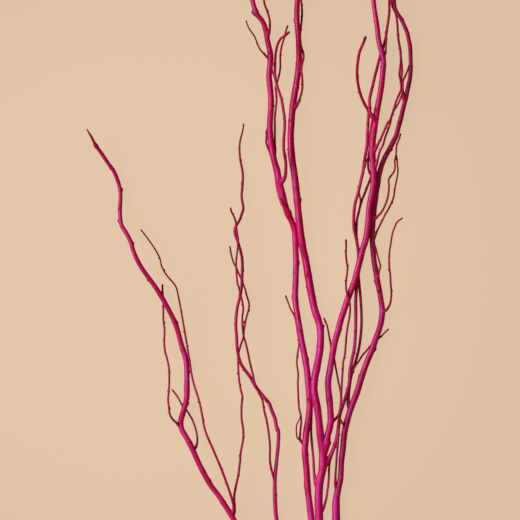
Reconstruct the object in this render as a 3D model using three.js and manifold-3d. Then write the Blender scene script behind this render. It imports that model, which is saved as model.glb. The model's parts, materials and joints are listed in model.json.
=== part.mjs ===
// A loose bunch of five dyed curly willow stems, lying on a flat surface.
// Millimetres. +Y runs from the cut butts to the tips, +Z is up and z = 0 is the surface.
// Each stem grew as one piece: a leader with side shoots, which may have shoots of their own.
import * as THREE from 'three';
import { mergeVertices } from 'three/addons/utils/BufferGeometryUtils.js';
import Module from 'manifold-3d';

// ---------- driving dimensions ----------

// The middle of the whole bunch in the routes' own coordinates. The part's origin goes there.
const MIDDLE = new THREE.Vector3(-58.5, 264.8, 0);

// How finely a branch's skin is divided: a branch at least this thick gets so many sides,
// with a ring of corners at this spacing.
const SKINS = [
  { least: 5, sides: 7, spacing: 16 },
  { least: 2.6, sides: 6, spacing: 11 },
  { least: 0, sides: 5, spacing: 9 },
];

// How far the saw cut at a butt leans, as a share of the butt's radius.
const CUT_LEAN = 0.5;

// Dyed bark, as it looks on each stem.
const BARK = { left: 0xb02a68, slender: 0xa5265f, middle: 0xc4327a, thick: 0xcf3a88, right: 0xbd2f74 };
const BARK_ROUGHNESS = 0.55;

// ---------- routes ----------

// A branch is its girth, its route and its shoots.
// girth: [share of its length, thickness] pairs. route: [x, y, z] points along its middle.
// A shoot's first point is pulled onto its parent's middle line, so that it grows out of it.
const branch = (girth, route, shoots = []) => ({ girth, route, shoots });
const twig = (butt, tip, route, shoots = []) => branch([[0, butt], [1, tip]], route, shoots);

const LEFT_STEM = branch(
  [[0, 8.2], [0.38, 6.6], [0.585, 6.8], [0.69, 6.1], [0.885, 4.8], [0.95, 4.7], [0.985, 3.2], [1, 1.5]],
  [
    [-30, -300, 4.1], [-25, -250, 4.1], [-28, -200, 4.1], [-27, -150, 4.3], [-35, -108, 5], [-42, -75, 6],
    [-55, -43, 7], [-67, -20, 8], [-79, 0, 9], [-90, 18, 11], [-98, 30, 12], [-107, 42, 14], [-120, 66, 18],
    [-131, 90, 20], [-137, 101, 19], [-142, 110, 17], [-143, 118, 16], [-140, 130, 13], [-136, 146, 10],
    [-135.6, 165, 7], [-136, 185, 5], [-138, 197, 4], [-142, 209, 3.6], [-147, 228, 4.5], [-151, 239, 5.5],
    [-161, 259, 9], [-173, 279, 13], [-188, 300, 16], [-195, 312, 17], [-200, 324, 17], [-203, 334, 17],
    [-208, 344, 16], [-214, 354, 13], [-216, 370, 9], [-215.5, 384, 6], [-216, 397, 5], [-223, 418, 7],
    [-230, 428, 10], [-238, 440, 14], [-245, 450, 18], [-249, 458, 22], [-255, 468.5, 27],
  ],
  [
    twig(3.2, 1.8, [
      [-81.5, 5, 9], [-79.5, 14, 13], [-81.5, 25, 17], [-84.5, 35, 20], [-93.5, 60, 23], [-103.5, 84, 26],
      [-113.5, 108, 26], [-117.5, 128, 23], [-120.5, 142, 19], [-128.5, 168, 14], [-132.5, 192, 12],
      [-136.5, 216, 13], [-141.5, 246, 18], [-145.5, 268, 25], [-148.5, 280, 29], [-153.5, 287, 32],
      [-159.5, 294, 35], [-165.5, 305, 39],
      [-167.5, 314, 42], [-172.5, 324, 46], [-180.5, 336, 51], [-189.5, 348, 57],
    ]),
    twig(3.1, 2.1, [
      [-80, 3, 9], [-78.5, 14, 9.5], [-79, 28, 11.5], [-77, 40, 14], [-74, 54, 16], [-72, 70, 17],
      [-71, 82, 17], [-68, 98, 16], [-68, 108, 15], [-70, 122, 13], [-70, 138, 10], [-69, 148, 8],
      [-71, 156, 7], [-73, 168, 5], [-74, 182, 4], [-74, 198, 2.6], [-71, 210, 2.4], [-68, 219, 2.4],
      [-67, 229, 3], [-65, 240, 3.2], [-61, 258, 3], [-64, 270, 2.6], [-66, 278, 2.4], [-70, 288, 2.3],
      [-73, 295, 2.3], [-76, 302, 2.4], [-80, 310, 4], [-82, 317, 7], [-84, 328, 12],
    ]),
    twig(2.6, 2.1, [
      [-131, 83, 19], [-127, 85, 18], [-124, 90, 17], [-123, 96, 16], [-124, 105, 13], [-127, 115, 10],
      [-130, 122, 7], [-136, 131.5, 5], [-142, 139, 4], [-147, 148, 5], [-153, 156, 7],
    ]),
    twig(2.6, 2.5, [
      [-142, 111, 17], [-148, 117, 20], [-153, 122, 23], [-156, 128, 25], [-157, 136, 26], [-158, 146, 25],
      [-157, 157, 22], [-157, 181, 16], [-159, 192, 13], [-162, 203, 10], [-163, 214, 8], [-162.5, 228, 6],
      [-164, 240, 4], [-164, 254, 3], [-164, 266, 2.8], [-165, 273, 4], [-165, 282, 8],
    ]),
  ],
);

const SLENDER_STEM = branch(
  [[0, 6.9], [0.36, 5.3], [0.47, 4.4], [0.555, 4.5], [0.61, 3.9], [0.78, 3.7], [0.9, 3.2], [1, 1.9]],
  [
    [-17, -285, 3.5], [-13, -240, 3.5], [-14, -200, 3.5], [-11, -155, 3.5], [-16, -110, 3.5],
    [-24, -70, 3.6], [-28, -35, 4], [-28, 0, 5], [-29, 8, 5.5], [-30, 28, 7], [-30, 49, 9], [-28, 71, 11],
    [-26, 92, 12], [-26, 108, 12], [-28, 112, 12], [-30, 122, 10], [-34, 132, 8], [-37, 140, 6],
    [-42, 146, 5], [-47, 152, 4], [-53, 160, 4], [-60, 172, 5], [-66, 180, 6], [-71, 188, 8], [-74, 198, 10],
    [-75.5, 208, 11], [-76, 220, 12], [-77, 236, 12], [-75, 256, 12], [-72, 268, 12], [-70, 280, 11.5],
    [-69.5, 292, 11], [-69, 302, 10], [-69.5, 314, 9], [-71.5, 324, 9], [-75, 335, 9], [-78, 344, 8.5],
    [-78, 350, 8], [-75.5, 355, 8], [-72, 361, 8], [-70, 367, 7.5], [-68, 374, 7], [-69.5, 384, 5.5],
    [-70, 390, 5], [-69, 402, 3.5], [-68.5, 414, 2.4], [-69.5, 422, 2.2], [-71.5, 432, 3], [-72.5, 444, 5],
    [-72, 454, 7], [-70, 462, 9], [-68.5, 468, 11], [-67.5, 475, 14],
  ],
  [
    twig(2.8, 2.3, [
      [-30, 46, 9], [-34, 60, 13], [-36, 72, 16], [-36, 90, 18], [-38, 108, 18], [-40, 120, 17],
      [-43, 132, 16], [-45, 144, 15], [-50, 154, 14], [-54, 163, 14], [-56.5, 175, 14], [-59, 185, 15],
      [-61, 194, 16], [-63, 204, 17], [-65.5, 214, 17], [-68, 223, 18], [-69, 234, 18], [-69, 245, 18],
      [-68, 253, 18], [-69, 262, 18], [-71, 270, 18], [-73, 278, 18], [-75, 285, 18], [-76, 296, 17],
      [-76.5, 310, 16], [-75, 324, 15], [-74, 336, 15], [-75, 343, 14], [-76, 350, 14], [-77, 358, 15],
      [-79, 364, 18], [-82, 370, 21], [-83, 374, 24],
    ]),
  ],
);

const MIDDLE_STEM = branch(
  [[0, 9.4], [0.27, 8.1], [0.41, 7.6], [0.51, 7.2], [0.62, 7.4], [0.73, 7], [0.8, 5.7], [0.9, 4], [1, 1.7]],
  [
    [6, -318, 4.7], [7, -270, 4.7], [2, -220, 4.6], [3, -170, 4.6], [0, -125, 4.5], [5, -80, 4.4],
    [11, -40, 4.3], [13.7, 0, 4.2], [12.4, 12, 4.2], [11, 24, 4.2], [9.5, 36, 4.2], [8, 60, 5], [6, 84, 7],
    [7, 96, 8], [8, 108, 9], [10, 120, 10], [11.5, 134, 10], [11.5, 144, 10], [10, 162, 9.5], [8.5, 180, 9],
    [6.5, 192, 8.5], [4.5, 204, 8.5], [2, 216, 8.5], [-2, 240, 7.5], [-5.5, 265, 5], [-5, 288, 3.9],
    [-4.5, 310, 3.9], [-5, 324, 3.8], [-6.5, 348, 4.4], [-9.5, 358, 6], [-14, 367, 8], [-17, 376, 9],
    [-19, 384, 10], [-22, 396, 11], [-25.5, 410, 12], [-27, 420, 12], [-30, 428, 12], [-32, 437, 12],
    [-34, 448, 11.5], [-35.5, 460, 10], [-36, 474, 8], [-35, 492, 5], [-34.5, 505, 3.9], [-36, 522, 3.8],
    [-37, 532, 3.8], [-36.5, 541, 4], [-35.5, 550, 4.5], [-35.5, 560, 5], [-38.5, 574, 6], [-41, 588, 7],
    [-45, 599, 8], [-51.5, 607, 9], [-55, 616, 9], [-57, 624, 8], [-63, 644, 5], [-62, 664, 3.4],
    [-71, 682, 2.7], [-83, 698, 2.6], [-86, 716, 3], [-80, 734, 5], [-81, 752, 8], [-92, 766, 12],
    [-100, 782, 16], [-96, 800, 20], [-94, 818, 26], [-102, 834, 34],
  ],
  [
    twig(4.1, 3, [
      [-24, 403, 11], [-18, 412, 16], [-17, 420, 19], [-17, 428, 21], [-18, 436, 23], [-19.5, 444, 24],
      [-19.5, 456, 25], [-18.5, 470, 26], [-18.5, 482, 25], [-20, 492, 24], [-22, 504, 22], [-24.5, 512, 20],
      [-27, 520, 18], [-29, 527, 17], [-30, 535, 17], [-30, 545, 18], [-29.5, 557, 21], [-28, 566, 26],
      [-26, 572, 30], [-23, 577, 34], [-18, 580, 38], [-13.5, 584, 43],
    ], [
      twig(2.1, 1.7, [[-29, 527, 17], [-32, 535, 17], [-33.5, 542, 19], [-32.5, 548, 22]]),
    ]),
    twig(2.8, 2.3, [
      [-32, 434, 12], [-30, 444, 9], [-30, 452, 8], [-30, 468, 6], [-30, 484, 5], [-29, 494, 5],
      [-28, 504, 5], [-28.5, 512, 5.5], [-29, 519, 6], [-27, 527, 7], [-25, 534, 8], [-23.5, 544, 10],
      [-23.5, 558, 13], [-22, 568, 16], [-20, 575, 18], [-18, 581, 20], [-17, 586, 23], [-15, 592, 28],
    ]),
    branch([[0, 4.2], [0.35, 4], [0.55, 3.2], [1, 2.2]], [
      [-12, 363, 8], [-13.5, 371, 13], [-17.5, 374.5, 14], [-21.2, 379, 13.5], [-23.6, 386, 11.5],
      [-26, 394, 8.5], [-27.6, 403, 6], [-28.8, 412, 4.5], [-32.2, 428, 3.6], [-35.5, 440, 3.8],
      [-38, 446, 4.6], [-40.4, 453, 6], [-40.3, 460, 7], [-39.8, 467, 6], [-38.2, 473, 3.4], [-37.5, 478, 2],
    ]),
    twig(2.2, 1.7, [
      [-36, 552, 4.6], [-39.5, 556, 7], [-43.5, 560, 10], [-48.5, 566, 14], [-51.5, 573, 18],
      [-54.5, 580, 22], [-58, 585, 26], [-61.5, 590, 31], [-64.5, 598, 38],
    ]),
    twig(2.9, 2, [
      [-39, 577, 6.5], [-36.5, 588, 12], [-36, 594, 15], [-36.5, 601, 18], [-39.5, 611, 20],
      [-42.5, 619, 22], [-43.5, 626, 22], [-44.5, 640, 21], [-38.5, 654, 21], [-31.5, 668, 23],
      [-34.5, 684, 26], [-41.5, 696, 30], [-38.5, 710, 36],
    ]),
    twig(2.6, 2, [
      [4, 89, 7.5], [0.5, 96, 10], [0.5, 106, 13], [1.5, 118, 14], [1, 126, 14], [-1, 134, 13],
      [-2, 150, 12], [-2.5, 165, 10], [-2, 175, 8], [-3.5, 186, 6], [-3.5, 194, 4.5], [-2, 204, 3],
      [-1, 212, 2], [-3, 226, 1.5], [-5, 239, 1.6], [-7, 246, 2.2], [-11, 253, 3.5], [-14, 261, 6],
      [-17, 269, 9],
    ], [
      twig(1.9, 1.6, [
        [0.3, 96, 10], [-3, 98.5, 13], [-4.3, 107, 17], [-4, 114, 20], [-2, 119, 21], [1, 124, 20],
      ]),
    ]),
    twig(2.7, 1.7, [
      [-62, 664, 3.4], [-54, 676, 8], [-50, 692, 13], [-56, 708, 17], [-53, 724, 20], [-44, 738, 24],
      [-42, 752, 30],
    ]),
    twig(2.3, 1.6, [
      [-86, 716, 3], [-96, 726, 8], [-106, 738, 12], [-107, 754, 18], [-116, 766, 26],
    ]),
    twig(4.8, 3.2, [[-49, 603, 8.5], [-53.5, 607.5, 8.8], [-56.4, 610.5, 9]]),
  ],
);

const THICK_STEM = branch(
  [
    [0, 11.8], [0.27, 9.8], [0.36, 9], [0.45, 8.6], [0.5, 8.9], [0.6, 8.4], [0.69, 7.8], [0.79, 6.3],
    [0.9, 4], [1, 1.6],
  ],
  [
    [18, -330, 5.9], [21, -275, 5.9], [17, -220, 5.8], [18, -170, 5.7], [16, -120, 5.5], [19, -75, 5.4],
    [22, -35, 5.5], [23, 0, 6], [22.5, 18, 7], [23, 36, 8], [24, 48, 9], [27, 60, 10.5], [27.5, 72, 12],
    [27, 84, 13], [25, 98, 15], [24, 108, 17], [22.5, 122, 19], [21, 134, 20], [19, 144, 20], [17, 156, 20],
    [17.5, 170, 18.5], [20, 182, 16.5], [22, 192, 15], [24, 204, 12.5], [25, 217, 10], [24.5, 229, 8],
    [22, 240, 6.5], [18, 252, 5.3], [14.5, 268, 4.8], [12, 282, 4.7], [9, 300, 4.7], [6.5, 314, 4.6],
    [3, 330, 7.4], [1, 344, 9.5], [-1.5, 366, 11], [-4, 392, 11.5], [-7, 418, 12], [-9, 430, 12],
    [-10.5, 446, 11], [-11, 462, 9], [-10, 479, 7], [-9, 492, 5.8], [-7, 507, 4.6], [-4.5, 522, 4.1],
    [-2, 540, 4], [-1, 550, 4.5], [-1, 562, 6], [-1.5, 576, 8], [-2.5, 588, 9], [-3.5, 600, 9],
    [-3.5, 612, 8], [-3, 624, 6.5], [-2, 644, 4], [5, 662, 3.2], [5, 682, 2.9], [-5, 698, 3], [-10, 716, 5],
    [-5, 734, 8], [6, 748, 10], [8, 766, 12], [0, 782, 14], [-6, 798, 17], [-2, 816, 20], [8, 830, 24],
    [10, 848, 30], [4, 862, 36],
  ],
  [
    // the long fork to the right
    branch(
      [[0, 7.8], [0.26, 7.5], [0.34, 7.5], [0.49, 7.8], [0.65, 6.6], [0.73, 5.6], [1, 1.9]],
      [
        [26.5, 66, 11], [28, 76, 12], [31, 88, 13], [33, 101, 14.5], [35.5, 110, 15], [37, 119, 15],
        [36.5, 132, 14], [35.5, 144, 13], [34, 158, 11.5], [34, 168, 11], [36, 180, 11], [38, 192, 11],
        [40, 204, 11.5], [42.5, 216, 12], [46, 228, 12], [49, 240, 12], [53, 252, 12], [57, 264, 12.3],
        [61.5, 276, 13], [66, 288, 13.5], [69, 300, 14], [72, 312, 14], [75, 324, 14], [79, 336, 13.5],
        [81, 348, 13], [82, 360, 13], [83, 372, 13.2], [84, 380, 13.4], [87, 394, 13.8], [88.5, 404, 14.1],
        [88.7, 412, 14], [88.3, 422, 13], [87, 436, 12.5], [87, 446, 12.4], [87.5, 456, 11.8],
        [89, 468, 10.6],
        [91, 480, 10], [93, 494, 9.4], [95, 504, 9], [97.5, 519, 9], [99, 532, 9.5], [100.3, 548, 10],
        [99.5, 557, 10], [97, 566, 9.5], [94.5, 576, 8.5], [93, 590, 7], [91, 604, 5], [89, 618, 3.8],
        [88, 628, 3.4], [84, 643, 3], [86, 660, 2.8], [96, 676, 3.2], [100, 692, 4], [94, 708, 5],
        [87, 722, 5], [88, 738, 4], [98, 752, 3], [103, 768, 4], [98, 784, 8], [92, 798, 12], [96, 812, 18],
      ],
      [
        twig(2.7, 2.1, [
          [37, 115, 15], [42, 121, 12], [46, 126, 9.5], [48.6, 136, 8], [49.3, 146, 7.5], [48.8, 154, 7.5],
          [46.4, 165, 7], [44.4, 176, 6], [42.6, 186, 4], [41, 196, 3], [39, 204, 2.5], [37, 211, 2.5],
          [35, 222, 4], [33, 232, 6], [30.5, 239, 8], [29, 242, 10],
        ]),
        twig(3, 2.5, [
          [88, 438, 12], [90.5, 445, 15], [94, 452, 17], [97, 458, 19], [100.5, 466, 21], [104, 474, 23],
          [108, 480, 24], [110, 486, 24], [112, 492, 24], [115, 502, 24], [118.5, 510, 23], [121, 517, 22],
          [120.5, 526, 22], [119, 535, 22], [120, 544, 23], [121, 551, 25],
        ]),
        twig(2.8, 2.3, [
          [88, 419, 13.5], [91, 425, 15], [93.5, 434, 16], [96, 443, 16], [99.5, 450, 16], [102.5, 460, 16],
          [105.5, 468, 16], [108, 475, 15.5], [109.5, 482, 15], [112, 490, 15], [115, 495, 15],
          [118, 500, 15], [121, 507, 15], [123, 514, 15], [123.5, 522, 15], [124, 528, 15], [126.5, 533, 14],
          [128.5, 538, 13], [131, 545, 12.5],
        ]),
        twig(4, 2.4, [
          [91, 477, 10], [89, 481, 12], [87, 484, 13], [84, 490, 14], [83.5, 498, 14], [83.5, 505, 14],
          [85, 512, 13], [87.5, 522, 11], [90, 533, 9], [92.5, 542, 7], [95, 552, 4.6], [97.5, 561, 3.4],
          [100, 567, 3.4], [101.4, 572.4, 4.4], [103, 579, 5.5], [104.2, 587, 7], [105.2, 594, 8.5],
          [106.3, 601.5, 10], [107.1, 609, 12], [107.2, 617, 13.5], [107.2, 625, 15], [110, 636, 16],
          [117, 648, 17], [120, 662, 17], [116, 676, 16], [117, 690, 16], [126, 700, 18], [130, 712, 22],
        ]),
        twig(2.4, 1.7, [
          [99.4, 552, 9.8], [102.4, 560.4, 9.4], [103.2, 566.4, 9], [103.8, 572.4, 9], [104.4, 579, 9.4],
        ]),
        twig(2.6, 1.6, [[86, 660, 2.3], [76, 670, 6], [70, 684, 12], [74, 700, 16], [70, 716, 20]]),
      ],
    ),
    // the wand that passes under the fork and comes up on its right
    branch(
      [[0, 5], [0.08, 4.7], [0.12, 3.9], [0.145, 4.3], [0.25, 4.1], [0.6, 3.9], [1, 3.4]],
      [
        [27, 63, 10.5], [32, 69, 11], [36, 76, 11], [41.5, 89, 11], [44.6, 100, 11.5], [46.3, 112, 12.5],
        [47.4, 124, 13], [50, 134, 13], [54, 145, 12], [57.5, 156, 11], [59.6, 167, 10.5], [60, 178, 10],
        [62, 190, 10], [65, 204, 11], [66.5, 222, 12], [67, 242, 12], [67, 264, 10], [68, 278, 8.7],
        [69.5, 294, 7.6], [70.2, 308, 7.2], [70.2, 322, 7.6], [67.5, 338, 9], [65, 350, 11], [64.5, 360, 13],
        [65, 372, 15], [66.5, 382, 16], [69, 390, 16.3], [71, 398, 16], [73, 407, 15.5], [75, 415, 14.5],
        [76.5, 424, 13], [77.5, 432, 11], [79, 440, 8.4], [80.5, 449, 5.6], [81, 462, 4], [82, 480, 3.6],
        [82.3, 491, 3.6], [79, 497, 5], [75.5, 504, 8], [73, 510, 11], [70, 521, 16], [68.5, 533, 21],
        [68.5, 542, 25], [69.5, 552, 29], [71.5, 562, 33], [75, 570, 37], [78, 578, 42],
      ],
      [
        twig(2.7, 2.1, [
          [60, 169, 10.4], [63, 178, 9.6], [66, 184, 9], [71, 191, 6.5], [75.5, 198, 4], [80, 203, 2.6],
          [83.5, 207.5, 2], [88, 212, 1.7], [93, 216, 2.2], [97, 220, 4], [102, 225, 7], [106, 229, 11],
        ]),
        twig(2.2, 1.7, [[76.5, 421, 13.4], [78, 425, 15.5], [79.3, 430, 17], [81, 434, 19]]),
      ],
    ),
    // small shoots of the leader
    twig(3, 2.2, [
      [-8, 489, 6], [-5, 496, 8], [-2, 501, 10], [0.5, 508, 12], [2.5, 516, 13], [3, 524, 12],
      [2.5, 533, 10], [1.7, 541, 8.5], [2.8, 548, 7], [4.5, 556, 6], [3.8, 562, 4.8], [2, 567, 3.4],
      [0.5, 576, 2.1],
      [0.5, 586, 1.9], [2, 598, 2.3], [2.6, 607, 4], [2.2, 617, 6.5], [1.4, 624, 9.5], [4, 638, 11],
      [12, 650, 12], [15, 664, 13], [10, 678, 15], [11, 692, 18], [19, 704, 22], [22, 718, 27],
    ]),
    twig(3.4, 2.6, [
      [22.5, 31, 7.7], [18.5, 47, 8], [17, 57, 7.5], [16.3, 72, 6], [15, 86, 4.2], [14, 98, 3],
      [13.5, 108, 2.2], [14, 120, 1.8], [14.5, 137, 1.8],
    ]),
    twig(3.1, 2.5, [
      [23, 2, 6], [29, 17, 8], [31.5, 25, 9], [33, 35, 9.5], [34.5, 47, 8.5], [35, 57, 6], [35.5, 66, 4],
      [37, 73, 2.6],
    ]),
  ],
);

const RIGHT_STEM = branch(
  [
    [0, 11.8], [0.265, 10.4], [0.285, 9], [0.303, 7.4], [0.315, 6.8], [0.35, 7.2], [0.41, 7.6], [0.5, 6.7],
    [0.66, 6.1], [0.735, 5.2], [0.8, 4.8], [0.9, 3.3], [1, 1.7],
  ],
  [
    [37, -322, 5.9], [35, -270, 5.9], [37, -220, 5.8], [34, -170, 5.7], [36, -120, 5.6], [39, -80, 5.5],
    [43, -40, 5.4], [43.5, 0, 5.4], [43.5, 14, 5.7], [44, 26, 6], [46, 37, 7], [48.5, 48, 8], [49.5, 60, 9],
    [50, 72, 10], [51.5, 84, 11], [52.5, 96, 11.5], [54, 108, 12], [57, 120, 12], [60.5, 132, 12],
    [65, 144, 11.5], [69.5, 156, 10], [73, 168, 9], [77, 180, 8.3], [81.5, 192, 8], [86.5, 204, 8],
    [90.5, 216, 7.5], [95, 228, 6], [98, 240, 4.2], [99, 252, 3.6], [97.5, 264, 3.5], [95.5, 276, 3.5],
    [93, 288, 3.6], [91, 300, 4.4], [89, 312, 5.4], [88, 324, 6.4], [87, 336, 7], [87, 348, 7.5],
    [88, 360, 8], [89, 372, 8], [91, 386, 8], [92, 394, 8], [94, 404, 8], [94.5, 411, 7.6], [96.5, 420, 7],
    [99, 428, 6.5], [103, 437, 6], [108, 446, 5.5], [112, 454, 5], [116, 462, 4.4], [118, 470, 4],
    [120.5, 479, 3.4], [122.5, 487, 3.3], [124.5, 496, 3.2], [127.5, 508, 3.2], [130, 519, 3.5],
    [132.4, 531, 4.2], [133.2, 542, 5.2], [133, 557, 6.6], [132.4, 568, 8.4], [130.8, 576, 9.6],
    [128.8, 585, 10.6], [125.5, 593, 11], [121.6, 601.4, 10.6], [116.6, 609, 9.8], [114, 615, 9],
    [113, 624, 8], [109, 636, 6], [105, 650, 4], [108, 664, 2.6], [117, 680, 2.2], [123, 696, 2.5],
    [122, 712, 4], [114, 728, 6], [112, 744, 7], [119, 760, 8], [130, 772, 10], [134, 788, 13],
    [129, 804, 16], [130, 820, 20], [138, 834, 26],
  ],
  [
    // the thin shoot that climbs over the wand
    twig(2.9, 2.4, [
      [44.5, 31, 6.5], [42.7, 43, 9.5], [42.8, 57, 12.5], [43.5, 66, 14], [44, 76, 15], [45, 87, 15.8],
      [45.9, 98, 16.6], [46.3, 108, 17.5], [46.2, 116, 18.6], [46.8, 125, 19.3], [48.4, 132.5, 19],
      [49.3, 140, 18.4], [49.6, 152, 17.6], [50.4, 168, 17], [51.3, 180, 16], [52, 190, 16], [54, 200, 16],
      [55, 212, 17], [56, 224, 18], [57.5, 234, 18], [59, 242, 18], [60, 250, 18], [60, 258, 18.1],
      [58.5, 266, 18.2], [56, 274, 18], [55, 283, 17.4], [56, 292, 17.4], [57, 302, 18], [56, 310, 19],
      [55, 319, 21], [55.3, 328, 23], [55, 336, 26],
    ]),
    // the side branch that runs up between the wand and the fork
    twig(3.6, 2.6, [
      [60.5, 132, 12], [58.6, 138, 10], [58.2, 146, 8], [59.2, 156, 6.2], [60.8, 168, 5.2], [64, 181, 5],
      [67.5, 192, 5], [70.5, 204, 5.2], [72.5, 217, 6], [74, 234, 7], [74, 246, 7], [73.5, 258, 6.2],
      [72.6, 270, 5], [71.6, 282, 4], [70.6, 294, 3], [70.7, 308, 2.6], [70.8, 322, 2.6], [69, 333, 3.4],
      [68, 341, 5], [68, 350, 6.5], [68.5, 360, 8], [71, 371, 10], [74, 383, 11], [77, 390, 10.5],
      [80.5, 399, 9], [84, 408, 6.5], [85.5, 414, 5.2], [83.5, 417.5, 5.2], [82, 425, 6], [82.3, 435, 6.2],
      [83.8, 447, 7.4], [84, 458, 7], [85, 468, 6.5], [86.5, 478, 6], [89.5, 488, 4.6], [92, 500, 3.6],
      [94.5, 511, 3], [96.5, 519, 2.6],
    ], [
      twig(2.4, 1.9, [[73.5, 380, 10.8], [72.8, 383, 14], [72, 387, 18], [70.8, 395, 21]]),
    ]),
    twig(2.1, 1.7, [[54.5, 110, 12], [51.8, 115, 16.5], [49.5, 119.5, 20], [47, 124.5, 23]]),
    twig(2.8, 2, [
      [98.5, 245, 3.6], [100.5, 250, 6], [104.5, 253, 9], [107.5, 258, 13], [109, 264, 17], [109.5, 274, 22],
      [108.5, 284, 26], [108, 294, 28], [107, 302, 29], [106.5, 312, 30], [107, 322, 31], [108.5, 332, 33],
      [110, 342, 36], [112.5, 350, 40], [115.5, 357, 46], [121.5, 362, 54],
    ]),
    twig(2.5, 1.9, [
      [93.5, 284, 3.4], [94, 290, 7], [95, 298, 10], [96.5, 305, 12], [95, 311, 13], [93, 318, 13],
      [91.5, 325, 13], [90, 330, 12.5],
    ]),
    twig(2.7, 2.1, [
      [89, 359, 8], [90.5, 362, 11], [93.5, 365, 13], [96.5, 368, 16], [99.5, 372.5, 19], [102.5, 379, 22],
      [104.5, 385, 24], [106, 393, 26], [106.5, 402, 26], [106, 408, 26], [109.5, 413.5, 24], [113, 419, 22],
      [114, 424, 21], [113.5, 431, 20], [115, 438, 19], [116, 450, 18], [118.5, 456, 20], [120.5, 463, 24],
    ]),
    twig(2.6, 2, [
      [87, 332, 7], [89.5, 340, 8.5], [92, 346, 10], [96, 354, 12], [99.5, 361, 13], [103, 368, 14],
      [106, 373, 14], [109, 379, 14.5], [112.5, 388, 15], [113.5, 396, 15], [115.5, 406, 15], [117, 414, 15],
      [117.5, 421, 15], [116.5, 430, 15], [116, 437, 15],
    ]),
    twig(3.6, 1.6, [
      [126.5, 502, 2.9], [124, 512, 6], [122.5, 521, 9], [121.5, 528, 10], [122.5, 539, 10.5],
      [121.5, 550, 11], [120.5, 564, 12], [119, 571.5, 13], [117.8, 580, 14], [117.2, 589, 15],
      [116.8, 596, 16], [116, 602, 16.6], [114.2, 609, 17], [111.4, 614.5, 18.2], [109.6, 620, 18.4],
      [108, 628, 18.9], [104, 637, 19], [101, 650, 19], [105, 664, 18], [109, 678, 17], [105, 692, 15],
      [99, 702, 14], [98, 714, 15], [102, 726, 18],
    ]),
  ],
);

// ---------- geometry ----------

const wasm = await Module();
wasm.setup();

const curveThrough = (points) => {
  const curve = new THREE.CatmullRomCurve3(points, false, 'centripetal');
  curve.arcLengthDivisions = points.length * 10;
  return curve;
};

// The thickness at a share of the length, from [share, thickness] pairs.
function thicknessAt(girth, share) {
  const next = Math.max(1, girth.findIndex(([at]) => at >= share));
  const [lowAt, low] = girth[next - 1];
  const [highAt, high] = girth[next];
  return THREE.MathUtils.mapLinear(share, lowAt, highAt, low, high);
}

// The point of a curve that is nearest to a given point.
function nearestOn(curve, point) {
  const along = curve.getSpacedPoints(Math.ceil(curve.getLength()));
  return along.reduce((best, p) => (p.distanceTo(point) < best.distanceTo(point) ? p : best));
}

// One closed tapered tube of round rings along a curve, with a fan of triangles on each end.
function taperedTube(curve, girth, lean) {
  const thickest = Math.max(...girth.map(([, thickness]) => thickness));
  const { sides, spacing } = SKINS.find(({ least }) => thickest >= least);
  const steps = Math.max(2, Math.ceil(curve.getLength() / spacing));
  const { normals, binormals } = curve.computeFrenetFrames(steps);
  const corners = [];
  for (let step = 0; step <= steps; step += 1) {
    const share = step / steps;
    const centre = curve.getPointAt(share);
    const radius = thicknessAt(girth, share) / 2;
    for (let side = 0; side < sides; side += 1) {
      const angle = (side / sides) * 2 * Math.PI;
      const corner = centre.clone()
        .addScaledVector(normals[step], radius * Math.cos(angle))
        .addScaledVector(binormals[step], radius * Math.sin(angle));
      if (step === 0) corner.addScaledVector(curve.getTangentAt(0), lean * radius * Math.cos(angle));
      corners.push(corner);
    }
  }
  const first = corners.push(curve.getPointAt(0)) - 1;
  const last = corners.push(curve.getPointAt(1)) - 1;

  const faces = [];
  for (let side = 0; side < sides; side += 1) {
    const next = (side + 1) % sides;
    for (let step = 0; step < steps; step += 1) {
      const low = step * sides;
      const high = low + sides;
      faces.push(low + side, low + next, high + side, high + side, low + next, high + next);
    }
    faces.push(first, next, side, last, steps * sides + side, steps * sides + next);
  }
  return new THREE.BufferGeometry().setFromPoints(corners).setIndex(faces);
}

function solidOf(geometry) {
  const merged = mergeVertices(geometry);
  return new wasm.Manifold(new wasm.Mesh({
    numProp: 3,
    vertProperties: merged.attributes.position.array,
    triVerts: new Uint32Array(merged.index.array),
  }));
}

function geometryOf(solid) {
  const { vertProperties, triVerts } = solid.getMesh();
  return new THREE.BufferGeometry()
    .setAttribute('position', new THREE.BufferAttribute(vertProperties, 3))
    .setIndex(new THREE.BufferAttribute(triVerts, 1));
}

// A branch with everything that grows on it, as one solid.
function grow({ girth, route, shoots }, parent = null) {
  const points = route.map((point) => new THREE.Vector3(...point));
  if (parent) points[0] = nearestOn(parent, points[0]);
  const curve = curveThrough(points);
  const own = solidOf(taperedTube(curve, girth, parent ? 0 : CUT_LEAN));
  return shoots.reduce((solid, shoot) => solid.add(grow(shoot, curve)), own);
}

function stem(name, plan, color) {
  const geometry = geometryOf(grow(plan));
  geometry.computeVertexNormals();
  const bark = new THREE.MeshStandardMaterial({ color, roughness: BARK_ROUGHNESS, metalness: 0 });
  const mesh = new THREE.Mesh(geometry, bark);
  mesh.name = name;
  mesh.position.copy(MIDDLE).negate();
  return mesh;
}

const bunch = new THREE.Group();
bunch.name = 'willow_stems';
bunch.add(
  stem('left_stem', LEFT_STEM, BARK.left),
  stem('slender_stem', SLENDER_STEM, BARK.slender),
  stem('middle_stem', MIDDLE_STEM, BARK.middle),
  stem('thick_stem', THICK_STEM, BARK.thick),
  stem('right_stem', RIGHT_STEM, BARK.right),
);

export default bunch;
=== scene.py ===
"""A loose bunch of five dyed curly willow stems, lying on a pale surface.

Metres. +Y runs from the cut butts to the tips, +Z is up, and z = 0 is the surface that the bunch lies on.
Each stem is one piece: a leader with its shoots, buds and broken pegs, fused into one closed skin of bark.
"""

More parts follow.
